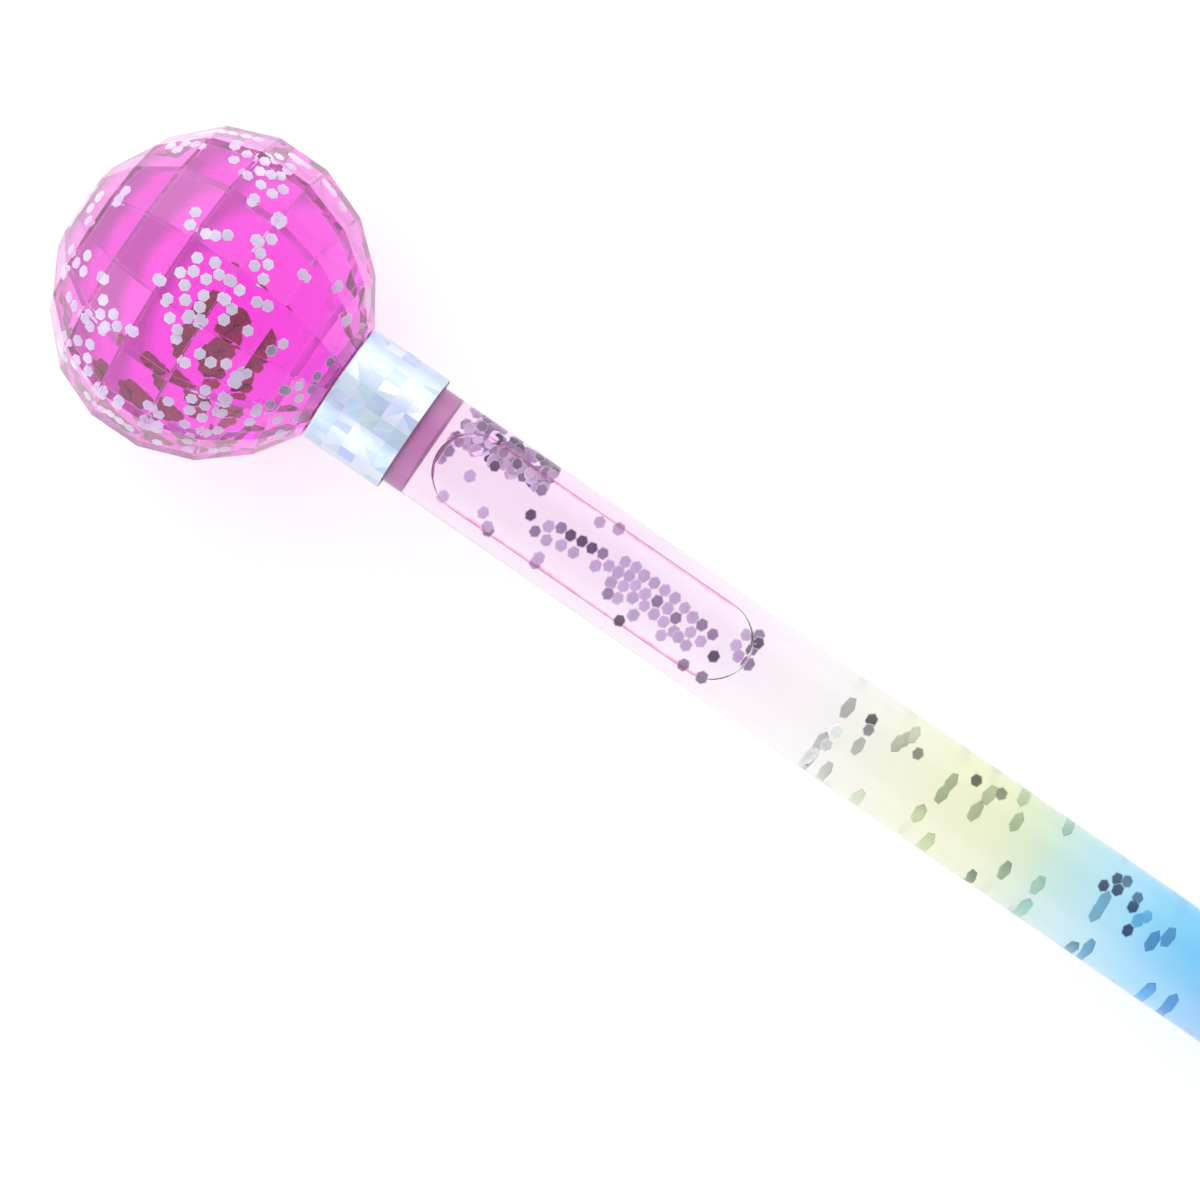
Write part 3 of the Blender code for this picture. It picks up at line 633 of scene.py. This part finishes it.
def share_out(flakes, names):
    """Gives each flake to the nearest CAD clump, so that each visible clump stands for its own node."""
    centres = {name: middle(name) for name in names}
    groups = {name: [] for name in names}
    for flake in flakes:
        nearest = min(names, key=lambda name: (centres[name] - flake[0]).length)
        groups[nearest].append(flake)
    empty = [name for name in names if not groups[name]]
    for name in empty:
        nearest = min(flakes, key=lambda flake: (centres[name] - flake[0]).length)
        for other in names:
            if nearest in groups[other] and len(groups[other]) > 1:
                groups[other].remove(nearest)
                groups[name].append(nearest)
                break
    return groups


def build_clumps(flakes, names, body, slot, material, seed):
    """Builds the flakes clump by clump. Each flake is (point, normal, tone, width)."""
    sizes = bpy.context.scene.wand_sizes
    dice = random.Random(seed)
    for name, members in share_out(flakes, names).items():
        heap = FlakeHeap(sizes.flake_flats, sizes.flake_thickness)
        for point, normal, tone, width in members:
            heap.add(point, normal, dice.uniform(0.0, math.pi), tone, dice.random(), width)
        settle(heap.finish(name + "_film", material), body, slot, name)


# Operators

def cavity_size(sizes):
    """Half width and half length of the ball's cavity, and how far out its flat ends stand."""
    across, along = sizes.ball_across - sizes.ball_wall, sizes.ball_along - sizes.ball_wall
    return across, along, along * math.cos(math.radians(24.0))


def dress(node, finish):
    """Gives its finish to a CAD node that stays as it is."""
    materials = frame["nodes"][node].data.materials
    materials.clear()
    materials.append(finish)


class WAND_OT_gem_ball(bpy.types.Operator):
    """Builds the clear faceted ball with its cavity and neck, welded from its two halves"""
    bl_idname = "wand.gem_ball"
    bl_label = "Gem ball"

    def execute(self, context):
        sizes = context.scene.wand_sizes
        sides, bands = sizes.ball_sides, sizes.ball_bands
        neck_plane = sizes.ball_along * math.cos(math.pi / bands)
        neck_radius, bore = TUBE_RADIUS - sizes.tube_wall - 0.3 * MM, 3.2 * MM
        front = []
        for ring in range(1, (bands + 1) // 2):
            angle = ring * math.pi / bands
            narrow = sizes.front_narrow if ring < 3 else 1.0
            front.append((-sizes.ball_along * sizes.front_flatten * math.cos(angle),
                          sizes.ball_across * math.sin(angle) * narrow))
        rear = gem_outline(sizes.ball_across, sizes.ball_along, 0.0, neck_plane, bands)[1:]
        rear[-1] = (neck_plane, FOIL_RADIUS / math.cos(math.pi / sides))
        outside = [*front, *rear]
        across, along, flat = cavity_size(sizes)
        cavity = gem_outline(across, along, -flat, flat, bands)
        profile = [(-FRONT_PLANE, 0.0), *outside, (neck_plane, neck_radius), (NECK_END, neck_radius),
                   (NECK_END, bore), (flat, bore), *reversed(cavity), (-flat, 0.0)]
        vertices, faces, rows = lathe(profile, sides, math.pi / sides)
        inside = len(outside) + 3
        gem = build_mesh("gem_ball", vertices, faces, [gem_plastic(), wetted_wall("ball_wetted_wall")],
                         [1 if row >= inside else 0 for row in rows])
        face_out(gem)
        soften_edges(gem, sizes.facet_edge, 12.0, 75.0)
        settle(gem, "wand", "ball_plastic", "ball_front_shell", "ball_rear_shell")
        return {"FINISHED"}


class WAND_OT_ball_fill(bpy.types.Operator):
    """Fills the ball's cavity with magenta liquid"""
    bl_idname = "wand.ball_fill"
    bl_label = "Ball liquid"

    def execute(self, context):
        sizes, colours = context.scene.wand_sizes, context.scene.wand_colours
        hair = 0.03 * MM
        across, along, flat = (size - hair for size in cavity_size(sizes))
        outline = gem_outline(across, along, -flat, flat, sizes.ball_bands)
        vertices, faces, _ = lathe([(-flat, 0.0), *outline, (flat, 0.0)], sizes.ball_sides,
                                   math.pi / sizes.ball_sides)
        liquid = dyed_liquid("magenta_liquid", tuple(colours.ball_fill_tint), colours.ball_fill_depth)
        fill = build_mesh("magenta_fill", vertices, faces, [liquid])
        face_out(fill)
        settle(fill, "wand", "ball_liquid", "ball_liquid")
        return {"FINISHED"}


class WAND_OT_ball_glitter(bpy.types.Operator):
    """Puts the ball's flakes on its upper wall and lets the rest settle below"""
    bl_idname = "wand.ball_glitter"
    bl_label = "Ball glitter"

    def execute(self, context):
        colours = context.scene.wand_colours
        sizes = context.scene.wand_sizes
        dice = random.Random(41)
        # the flakes lie on an ellipse that touches the middles of the cavity's flat facets
        shrink = math.cos(math.pi / sizes.ball_sides) * math.cos(math.pi / sizes.ball_bands / 2.0)
        across, along, flat = cavity_size(sizes)
        across, along, flat = across * shrink - 0.12 * MM, along * shrink - 0.12 * MM, flat - 0.3 * MM
        flakes = []

        def on_wall(place, side, below, depth, lean):
            place = max(-flat, min(flat, place))
            radius = across * math.sqrt(max(0.0, 1.0 - (place / along) ** 2))
            side = max(-0.985 * radius, min(0.985 * radius, side))
            height = math.sqrt(max(0.0, radius * radius - side * side))
            normal = Vector((place / along ** 2, side / across ** 2, height / across ** 2)).normalized()
            # a flake near the top lies less steep than the wall, and stands off it by its own half width
            level = normal
            if not below:
                steep = normal.angle(Vector((0.0, 0.0, 1.0)))
                lie = steep - math.asin(math.sin(steep) / PLASTIC_BEND)
                away = Vector((normal.x, normal.y, 0.0)).normalized() * math.sin(lie)
                level = Vector((away.x, away.y, math.cos(lie)))
            off = depth + sizes.flake_flats * 0.55 * math.sin(normal.angle(level))
            point = Vector((place, side, height)) - normal * off
            turned = level + lean_of(dice, lean)
            if below:
                point.z, turned.z = -point.z, -turned.z
            return point, turned

        for place, side, tone in WALL_FLAKES:
            point, normal = on_wall(place * MM, side * MM, False, dice.uniform(0.0, 0.25) * MM, 0.07)
            flakes.append((point, normal, float(tone), dice.uniform(0.90, 0.96)))
        # the settled flakes turn their inner sides, painted in shade, up towards the camera
        # settled flakes: middle along, middle across, spread along, spread across, count, layers
        for mid, aside, long_way, wide_way, count, layers in (
                (0.1, -2.2, 1.6, 2.9, 44, 5), (-1.9, -9.0, 2.6, 1.5, 42, 4), (1.6, -5.6, 1.0, 1.6, 5, 1)):
            for index in range(count):
                angle, away = dice.uniform(0.0, 2.0 * math.pi), math.sqrt(dice.random())
                place = (mid + long_way * away * math.cos(angle)) * MM
                side = (aside + wide_way * away * math.sin(angle)) * MM
                depth = (0.05 + 0.16 * (index % layers) + dice.uniform(0.0, 0.05)) * MM
                point, normal = on_wall(place, side, True, depth, 0.10)
                flakes.append((point, normal, 0.0, dice.uniform(0.97, 1.03)))
        film = glitter_film("ball_glitter_film", tuple(colours.flake_pale), tuple(colours.flake_painted_shade))
        build_clumps(flakes, clumps("ball_flakes_"), "ball_glitter", "ball_glitter", film, 7)
        return {"FINISHED"}


class WAND_OT_stopper(bpy.types.Operator):
    """Gives the ball's rubber stopper its finish"""
    bl_idname = "wand.stopper"
    bl_label = "Ball stopper"

    def execute(self, context):
        dress("ball_stopper", moulded_plastic("stopper_rubber", (0.62, 0.55, 0.60), (0.55, 0.48, 0.54), 0.55))
        return {"FINISHED"}
        return {"FINISHED"}


def tape_ring(name, start, end, radius, finish):
    """A tape wound once round with a lap, so that it steps up by part of its thickness at the lap."""
    sides, lap_sides = 144, 12
    thick = 0.15 * MM
    bore = radius - thick
    corner = 0.03 * MM
    columns = (start, start + 0.06 * MM, end - 0.06 * MM, end)
    vertices, faces = [], []
    for side in range(sides):
        angle = math.pi + 2.0 * math.pi * side / sides
        lap = thick * 0.45 if side < lap_sides else 0.0
        outer = radius - thick * 0.45 + lap
        for place, height in ((columns[0], bore), (columns[0], outer - corner), (columns[1], outer),
                              (columns[2], outer), (columns[3], outer - corner), (columns[3], bore)):
            vertices.append((place, height * math.sin(angle), height * math.cos(angle)))
    for side in range(sides):
        after = (side + 1) % sides
        for row in range(6):
            below = (row + 1) % 6
            faces.append([side * 6 + row, side * 6 + below, after * 6 + below, after * 6 + row])
    ring = build_mesh(name, vertices, faces, [finish])
    face_out(ring)
    smooth_by_angle(ring, 20.0)
    return ring


class WAND_OT_collar(bpy.types.Operator):
    """Winds the holographic tape round the sleeve between ball and tube"""
    bl_idname = "wand.collar"
    bl_label = "Collar tape"

    def execute(self, context):
        finish = prism_tape(context.scene.wand_sizes.prism_square)
        for name, start, end, radius, node in (
                ("collar_tape", FOIL_START, FOIL_END, FOIL_RADIUS, "collar_foil"),
                ("tail_tape", TAIL_FOIL_START, TAIL_FOIL_END, TAIL_FOIL_RADIUS, "tail_foil")):
            settle(tape_ring(name, start, end, radius, finish), "wand", "holographic_foil", node)
        plastic = moulded_plastic("sleeve_plastic", (0.80, 0.80, 0.84), (0.74, 0.74, 0.80), 0.35)
        dress("collar_sleeve", plastic)
        return {"FINISHED"}


class WAND_OT_tube(bpy.types.Operator):
    """Builds the clear tube with its colour fade"""
    bl_idname = "wand.tube"
    bl_label = "Tube"

    def execute(self, context):
        sizes = context.scene.wand_sizes
        bore = TUBE_RADIUS - sizes.tube_wall
        edge = 0.25 * MM
        profile = [(TUBE_START, bore + edge), (TUBE_START, TUBE_RADIUS - edge),
                   (TUBE_START + edge, TUBE_RADIUS), (TUBE_END - edge, TUBE_RADIUS),
                   (TUBE_END, TUBE_RADIUS - edge), (TUBE_END, bore + edge),
                   (TUBE_END - edge, bore), (TUBE_START + edge, bore)]
        vertices, faces, rows = lathe(profile, 160, 0.0, closed=True)
        bore_row = 6
        tube = build_mesh("faded_tube", vertices, faces, [faded_tube(), wetted_wall("tube_wetted_wall")],
                          [1 if row == bore_row else 0 for row in rows])
        face_out(tube)
        smooth_by_angle(tube, 20.0)
        settle(tube, "wand", "tube_plastic", "tube")
        return {"FINISHED"}


def plug_piece(name, start, end, radius, finish, dish):
    """A moulded plug with rounded edges and a shallow dish in each end."""
    edge = 0.6 * MM
    profile = [(start + dish, 0.0), (start + dish, radius * 0.45), (start + dish * 0.3, radius * 0.62),
               (start, radius * 0.72), (start, radius - edge), (start + edge * 0.3, radius - edge * 0.3),
               (start + edge, radius), (end - edge, radius), (end - edge * 0.3, radius - edge * 0.3),
               (end, radius - edge), (end, radius * 0.72), (end - dish * 0.3, radius * 0.62),
               (end - dish, radius * 0.45), (end - dish, 0.0)]
    vertices, faces, _ = lathe(profile, 96)
    plug = build_mesh(name, vertices, faces, [finish])
    face_out(plug)
    smooth_by_angle(plug, 35.0)
    return plug


class WAND_OT_plugs(bpy.types.Operator):
    """Moulds the pink head plug and the milky tail plug"""
    bl_idname = "wand.plugs"
    bl_label = "Plugs"

    def execute(self, context):
        pink = tuple(context.scene.wand_colours.plug_pink)
        finish = moulded_plastic("plug_pink_plastic", pink, shaded(pink, 0.92), 0.4, 0.49, 1.1)
        settle(plug_piece("pink_plug", HEAD_PLUG_START, HEAD_PLUG_END, PLUG_RADIUS, finish, 0.5 * MM),
               "wand", "plug_plastic", "head_plug")
        finish = moulded_plastic("plug_milky_plastic", (0.80, 0.78, 0.86), (0.74, 0.73, 0.83), 0.35, 0.2)
        settle(plug_piece("milky_plug", TAIL_PLUG_START, TAIL_PLUG_END, PLUG_RADIUS, finish, 0.6 * MM),
               "wand", "tail_plug_plastic", "tail_plug")
        return {"FINISHED"}


class WAND_OT_tube_fill(bpy.types.Operator):
    """Fills the tube with clear liquid from plug to plug"""
    bl_idname = "wand.tube_fill"
    bl_label = "Tube liquid"

    def execute(self, context):
        hair = 0.02 * MM
        radius = TUBE_RADIUS - context.scene.wand_sizes.tube_wall - hair
        start, end = HEAD_PLUG_END + hair, TAIL_PLUG_START - hair
        vertices, faces, _ = lathe([(start, 0.0), (start, radius), (end, radius), (end, 0.0)], 160)
        liquid = dyed_liquid("clear_liquid", (1.0, 0.90, 0.985), 22.0)
        fill = build_mesh("clear_fill", vertices, faces, [liquid])
        face_out(fill)
        smooth_by_angle(fill, 20.0)
        settle(fill, "wand", "tube_liquid", "tube_liquid")
        return {"FINISHED"}


class WAND_OT_bubble(bpy.types.Operator):
    """Floats the long air bubble along the top of the tube"""
    bl_idname = "wand.bubble"
    bl_label = "Air bubble"

    def execute(self, context):
        sizes = context.scene.wand_sizes
        half_width, half_length = sizes.bubble_half_width, sizes.bubble_length / 2.0
        centre = HEAD_PLUG_END + 1.1 * MM + half_length
        roof = TUBE_RADIUS - sizes.tube_wall - 0.06 * MM
        end_round, edge = 6.0 * MM, 0.85 * MM
        rows, columns = 88, 28

        def width_at(place):
            past = max(0.0, abs(place - centre) - (half_length - end_round)) / end_round
            return half_width * math.sqrt(max(0.0, 1.0 - past ** 2.2))

        vertices, faces, top, low = [], [], [], []
        for row in range(rows + 1):
            swing = math.pi * row / rows
            place = centre - half_length * math.copysign(abs(math.cos(swing)) ** 0.8, math.cos(swing))
            width = width_at(place)
            from_end = half_length - abs(place - centre)
            top_row, low_row = [], []
            for column in range(columns + 1):
                side = width * -math.cos(math.pi * column / columns)
                inside = max(0.0, min(1.0, min(width - abs(side), from_end * 0.9) / edge))
                swell = math.sqrt(max(0.0, 1.0 - (1.0 - inside) ** 2))
                high = math.sqrt(max(0.0, roof * roof - side * side))
                half_thick = max(high - sizes.bubble_level, 0.2 * MM) / 2.0
                mid = high - half_thick
                rim = column in (0, columns) or row in (0, rows)
                top_row.append(len(vertices))
                vertices.append((place, side, mid + (0.0 if rim else half_thick * swell)))
                if rim:
                    low_row.append(top_row[-1])
                else:
                    low_row.append(len(vertices))
                    vertices.append((place, side, mid - half_thick * swell))
            top.append(top_row)
            low.append(low_row)
        for row in range(rows):
            for column in range(columns):
                faces.append([top[row][column], top[row][column + 1],
                              top[row + 1][column + 1], top[row + 1][column]])
                faces.append([low[row][column], low[row + 1][column],
                              low[row + 1][column + 1], low[row][column + 1]])
        bubble = build_mesh("air_bubble", vertices, faces, [bubble_skin(half_width)], smooth=True)
        face_out(bubble, 0.002 * MM)
        settle(bubble, "bubble", "tube_liquid")
        return {"FINISHED"}


class WAND_OT_tube_glitter(bpy.types.Operator):
    """Lays the raft under the bubble, the heap by the collar and the scattered flakes"""
    bl_idname = "wand.tube_glitter"
    bl_label = "Tube glitter"

    def execute(self, context):
        sizes = context.scene.wand_sizes
        dice = random.Random(23)
        bore = TUBE_RADIUS - sizes.tube_wall
        # painted shade: the flakes' inner sides take the second, darker colour of each film
        film = glitter_film("tube_glitter_film", (0.90, 0.72, 1.0), (0.82, 0.66, 0.94))
        drift_film = glitter_film("drift_glitter_film", (0.84, 0.90, 0.94), (0.74, 0.80, 0.82), 0.7, True)
        raft, raft_half_width = [], 4.5
        for place, side, tone in RAFT_FLAKES:
            side = max(-raft_half_width, min(raft_half_width, side))
            point = Vector((place * MM, side * MM, sizes.bubble_level - (0.12 + 0.1 * dice.random()) * MM))
            normal = Vector((dice.uniform(-0.08, 0.08), dice.uniform(-0.08, 0.08), 1.0))
            raft.append((point, normal, float(tone), dice.uniform(0.95, 1.03)))
        build_clumps(raft, clumps("bubble_flakes_"), "bubble", "tube_glitter", film, 11)

        # the heap leans against one side of the tube and grows narrower away from the collar
        half = 0.6 * sizes.flake_flats
        first, last = along_limits("tube_flakes_heap_", half)
        heap, heap_count, stray_count = [], 112, 7
        for index in range(heap_count):
            share = index / (heap_count - 1.0)
            place = (36.4 + 16.4 * share + dice.uniform(-0.7, 0.7)) * MM
            nearest = (2.0 + 0.5 * share + (1.4 * (share - 0.55) if share > 0.55 else 0.0)) * MM
            side = nearest + (6.0 * MM - nearest) * dice.random() ** 1.15
            if index < stray_count:
                side = dice.uniform(-0.6, 2.0) * MM
            wall = math.sqrt(max(0.0, (bore - 0.25 * MM) ** 2 - side * side))
            low, high = max(-wall, -3.0 * MM), min(wall, sizes.bubble_level - 0.25 * MM)
            place = max(first, min(last, place))
            point = Vector((place, side, low + (high - low) * dice.random() ** 0.7))
            lean = dice.uniform(0.15, 0.6)
            normal = Vector((dice.uniform(-lean, lean), dice.uniform(-lean, lean), 1.0))
            tone = dice.choice((0.0, 0.0, 1.0, 1.0, 1.0, 2.0, 2.0, 3.0))
            heap.append((point, normal, tone, dice.uniform(0.88, 0.98)))
        build_clumps(heap, clumps("tube_flakes_heap_"), "glitter_heap", "tube_glitter", film, 13)

        first, last = along_limits("tube_flakes_drift_", half)
        under = sizes.bubble_level - 0.5 * MM
        off_wall, lean = 0.22, 0.18
        radius = bore - off_wall * MM
        drift, tail_count = [], 46
        for place, seen, tone, at_top in DRIFT_FLAKES:
            # the round liquid widens what lies deeper more, so a place as seen is scaled by its depth
            side = seen * MM * (0.74 if at_top else 0.52)
            height = math.sqrt(max(0.0, radius * radius - side * side))
            out = Vector((0.0, side, height if at_top else -height)).normalized()
            point = out * radius
            if point.z > under:
                # the bubble passes over the upper flakes
                point.z, out = under, Vector((0.0, 0.0, 1.0))
            normal = out + lean_of(dice, lean)
            point.x = max(first, min(last, place * MM))
            drift.append((point, normal, float(tone), dice.uniform(0.92, 1.05)))
        # the rest lie on the bottom towards the tail, past the picture's edge
        for index in range(tail_count):
            place = (166.0 + 64.0 * index / (tail_count - 1.0) + dice.uniform(-2.0, 2.0)) * MM
            angle = math.radians(dice.uniform(-58.0, 58.0))
            out = Vector((0.0, math.sin(angle), -math.cos(angle)))
            point = out * (bore - (off_wall + 0.5 * dice.random() ** 3) * MM)
            point.x = min(place, last)
            normal = out + lean_of(dice, lean)
            drift.append((point, normal, dice.choice((0.0, 0.0, 2.0, 3.0)), dice.uniform(0.92, 1.05)))
        build_clumps(drift, clumps("tube_flakes_drift_"), "glitter_drift", "tube_glitter", drift_film, 17)
        return {"FINISHED"}


class WAND_OT_tail_cap(bpy.types.Operator):
    """Builds the clear faceted cap at the tail"""
    bl_idname = "wand.tail_cap"
    bl_label = "Tail cap"

    def execute(self, context):
        sizes = context.scene.wand_sizes
        sides, round_sides = 12, 96
        socket = TUBE_RADIUS + 0.05 * MM
        floor = TUBE_END + 0.1 * MM
        outer = [(CAP_START, CAP_RADIUS - 0.4 * MM), (CAP_START + 0.4 * MM, CAP_RADIUS),
                 (CAP_END - 5.4 * MM, CAP_RADIUS), (CAP_END - 2.7 * MM, 7.4 * MM), (CAP_END, 3.2 * MM),
                 (CAP_END, 0.0)]
        vertices, faces, _ = lathe(outer, sides, math.pi / sides)
        # the socket is round, so its mouth joins the outside by a ring of matching corners
        start = len(vertices)
        for place in (CAP_START, floor):
            for side in range(round_sides):
                angle = math.pi / sides + 2.0 * math.pi * side / round_sides
                vertices.append((place, socket * math.sin(angle), socket * math.cos(angle)))
        centre = len(vertices)
        vertices.append((floor, 0.0, 0.0))
        inner = start + round_sides
        for side in range(round_sides):
            after = (side + 1) % round_sides
            faces.append([start + side, start + after, inner + after, inner + side])
            faces.append([inner + side, inner + after, centre])
        share = round_sides // sides
        for side in range(sides):
            rim = [start + (side * share + step) % round_sides for step in range(share + 1)]
            faces.append([side, (side + 1) % sides, *reversed(rim)])
        cap = build_mesh("gem_cap", vertices, faces, [gem_cap_plastic()])
        face_out(cap)
        soften_edges(cap, sizes.facet_edge, 18.0, 75.0)
        settle(cap, "wand", "cap_plastic", "tail_cap")
        return {"FINISHED"}


# Stage

def grey(value):
    return value, value, value


def floor_finish():
    """White paper that keeps the shadows. Clear pieces that lie on it are lit by a glow of its own."""
    finish = Finish("white_floor")
    rays = finish.node("LightPath")
    seen = finish.math("MAXIMUM", rays.outputs["Is Camera Ray"], finish.math(
        "MAXIMUM", rays.outputs["Is Glossy Ray"], rays.outputs["Is Transmission Ray"]))
    where = finish.node("TexCoord").outputs["Object"]
    parts = finish.node("SeparateXYZ", {0: where})
    along, across = parts.outputs[0], parts.outputs[1]
    shade = finish.mix(finish.noise(where, 40.0, 2.0), grey(0.56), grey(0.58))
    # painted shade: away from the wand's middle line, what the clear pieces show grows a little darker
    past_end = finish.math("MAXIMUM", finish.minus(finish.math("ABSOLUTE", along), 0.1315), 0.0)
    far = finish.math("SQRT", finish.plus(finish.times(across, across), finish.math("POWER", past_end, 2.0)))
    painted_shade_off_wand = finish.between(far, 0.015, 0.026, 1.0, 0.74, "SMOOTHSTEP")
    # the ball gathers the light into a bright spot under itself, with its shadow round the spot
    oval = finish.node("Mapping", {
        "Vector": where, "Location": (WAND.translation.x - 0.0004, 0.0006, 0.0),
        "Scale": (0.0066, 0.0086, 1.0)}, vector_type="TEXTURE")
    from_spot = finish.node("VectorMath", {0: oval.outputs[0]}, operation="LENGTH").outputs["Value"]
    spot = finish.ramp(finish.times(from_spot, 0.4), [
        (0.0, grey(1.0)), (0.37, grey(1.0)), (0.47, grey(0.56)), (0.72, grey(0.52)), (0.88, grey(0.9)),
        (1.0, grey(1.0))])
    glow = finish.node("Emission", {"Color": grey(1.0), "Strength": finish.times(seen, 0.46)})
    paper = finish.node("AddShader", {0: finish.node("BsdfDiffuse", {"Color": shade}), 1: glow})
    through = finish.node("Emission", {"Color": grey(1.0), "Strength": finish.times(painted_shade_off_wand, spot)})
    return finish.done(finish.node("MixShader", {
        0: rays.outputs["Is Transmission Ray"], 1: paper, 2: through}))


def soft_room():
    """Soft boxes round the table, somewhat uneven, and brighter past the ball than past the tail."""
    room = NodeTree(bpy.data.worlds.new("studio"), "OutputWorld")
    where = room.node("TexCoord").outputs["Generated"]
    parts = room.node("SeparateXYZ", {0: where})
    # the sides are brighter than straight above
    boxes = room.ramp(parts.outputs[2], [(0.42, grey(1.0)), (0.80, grey(0.64))])
    uneven = room.between(room.noise(where, 1.3, 0.0), 0.35, 0.65, 0.75, 1.0)
    window = room.between(parts.outputs[0], -1.0, 1.0, 1.6, 0.35)
    light = room.mix(1.0, boxes, room.times(uneven, window), "MULTIPLY")
    brightness = 1.9
    shown = room.mix(room.node("LightPath").outputs["Is Camera Ray"], light, grey(1.0 / brightness))
    return room.done(room.node("Background", {0: shown, 1: brightness}))


def build_floor(finish):
    """A wide floor sheet under the wand."""
    mesh = bpy.data.meshes.new("floor")
    wide = 3.0
    corners = [(-wide, -wide, 0.0), (wide, -wide, 0.0), (wide, wide, 0.0), (-wide, wide, 0.0)]
    mesh.from_pydata(corners, [], [(0, 1, 2, 3)])
    mesh.materials.append(finish)
    floor = bpy.data.objects.new("floor", mesh)
    bpy.context.scene.collection.objects.link(floor)
    return floor


class WAND_OT_stage(bpy.types.Operator):
    """Lays the white floor, sets the soft light and places the camera above the wand"""
    bl_idname = "wand.stage"
    bl_label = "Stage"

    def execute(self, context):
        scene = context.scene
        floor = build_floor(floor_finish())
        scene.world = soft_room()

        softbox = bpy.data.lights.new("softbox", "AREA")
        softbox.shape, softbox.size, softbox.size_y, softbox.energy = "RECTANGLE", 0.5, 0.35, 0.7
        lamp = bpy.data.objects.new("softbox", softbox)
        scene.collection.objects.link(lamp)
        lamp.location = (-0.42, 0.30, 0.55)
        aim = Vector((-0.06, 0.0, 0.02)) - lamp.location
        lamp.rotation_euler = aim.to_track_quat("-Z", "Y").to_euler()

        eye_lens = bpy.data.cameras.new("camera")
        eye = bpy.data.objects.new("camera", eye_lens)
        scene.collection.objects.link(eye)
        above, picture_width = 400.0, 1200.0 * 0.1345
        aimed_at = WAND @ Vector((65.9 * MM, -4.2 * MM, 0.0))
        eye.location = aimed_at + Vector((0.0, 0.0, above * MM))
        eye.rotation_euler = (0.0, 0.0, math.radians(34.55))
        eye_lens.sensor_width = 36.0
        eye_lens.lens = 36.0 * above / picture_width
        eye_lens.clip_start, eye_lens.clip_end = 0.01, 20.0
        scene.camera = eye
        scene.view_settings.view_transform = "Standard"
        # light crosses many faces of plastic and liquid before it leaves the wand
        for kind in ("max_bounces", "glossy_bounces", "transmission_bounces", "transparent_max_bounces"):
            setattr(scene.cycles, kind, 32)
        return {"FINISHED"}


class WAND_PT_pieces(bpy.types.Panel):
    """Lists the wand's pieces in the sidebar"""
    bl_idname = "WAND_PT_pieces"
    bl_label = "Glitter Wand"
    bl_space_type = "VIEW_3D"
    bl_region_type = "UI"
    bl_category = "Glitter Wand"

    def draw(self, context):
        layout = self.layout
        for operator in OPERATORS:
            layout.operator(operator.bl_idname)
        for group in (context.scene.wand_sizes, context.scene.wand_colours):
            box = layout.box()
            for key in group.__annotations__:
                box.prop(group, key)


OPERATORS = (
    WAND_OT_gem_ball, WAND_OT_ball_fill, WAND_OT_ball_glitter, WAND_OT_stopper, WAND_OT_collar, WAND_OT_tube,
    WAND_OT_plugs, WAND_OT_tube_fill, WAND_OT_bubble, WAND_OT_tube_glitter, WAND_OT_tail_cap, WAND_OT_stage,
)
CLASSES = (WandSizes, WandColours, *OPERATORS, WAND_PT_pieces)


def register():
    for cls in CLASSES:
        bpy.utils.register_class(cls)
    bpy.types.Scene.wand_sizes = PointerProperty(type=WandSizes)
    bpy.types.Scene.wand_colours = PointerProperty(type=WandColours)


def unregister():
    del bpy.types.Scene.wand_colours
    del bpy.types.Scene.wand_sizes
    for cls in reversed(CLASSES):
        bpy.utils.unregister_class(cls)


def main():
    register()
    for operator in OPERATORS:
        getattr(bpy.ops.wand, operator.bl_idname.split(".")[1])()


if __name__ == "__main__":
    main()
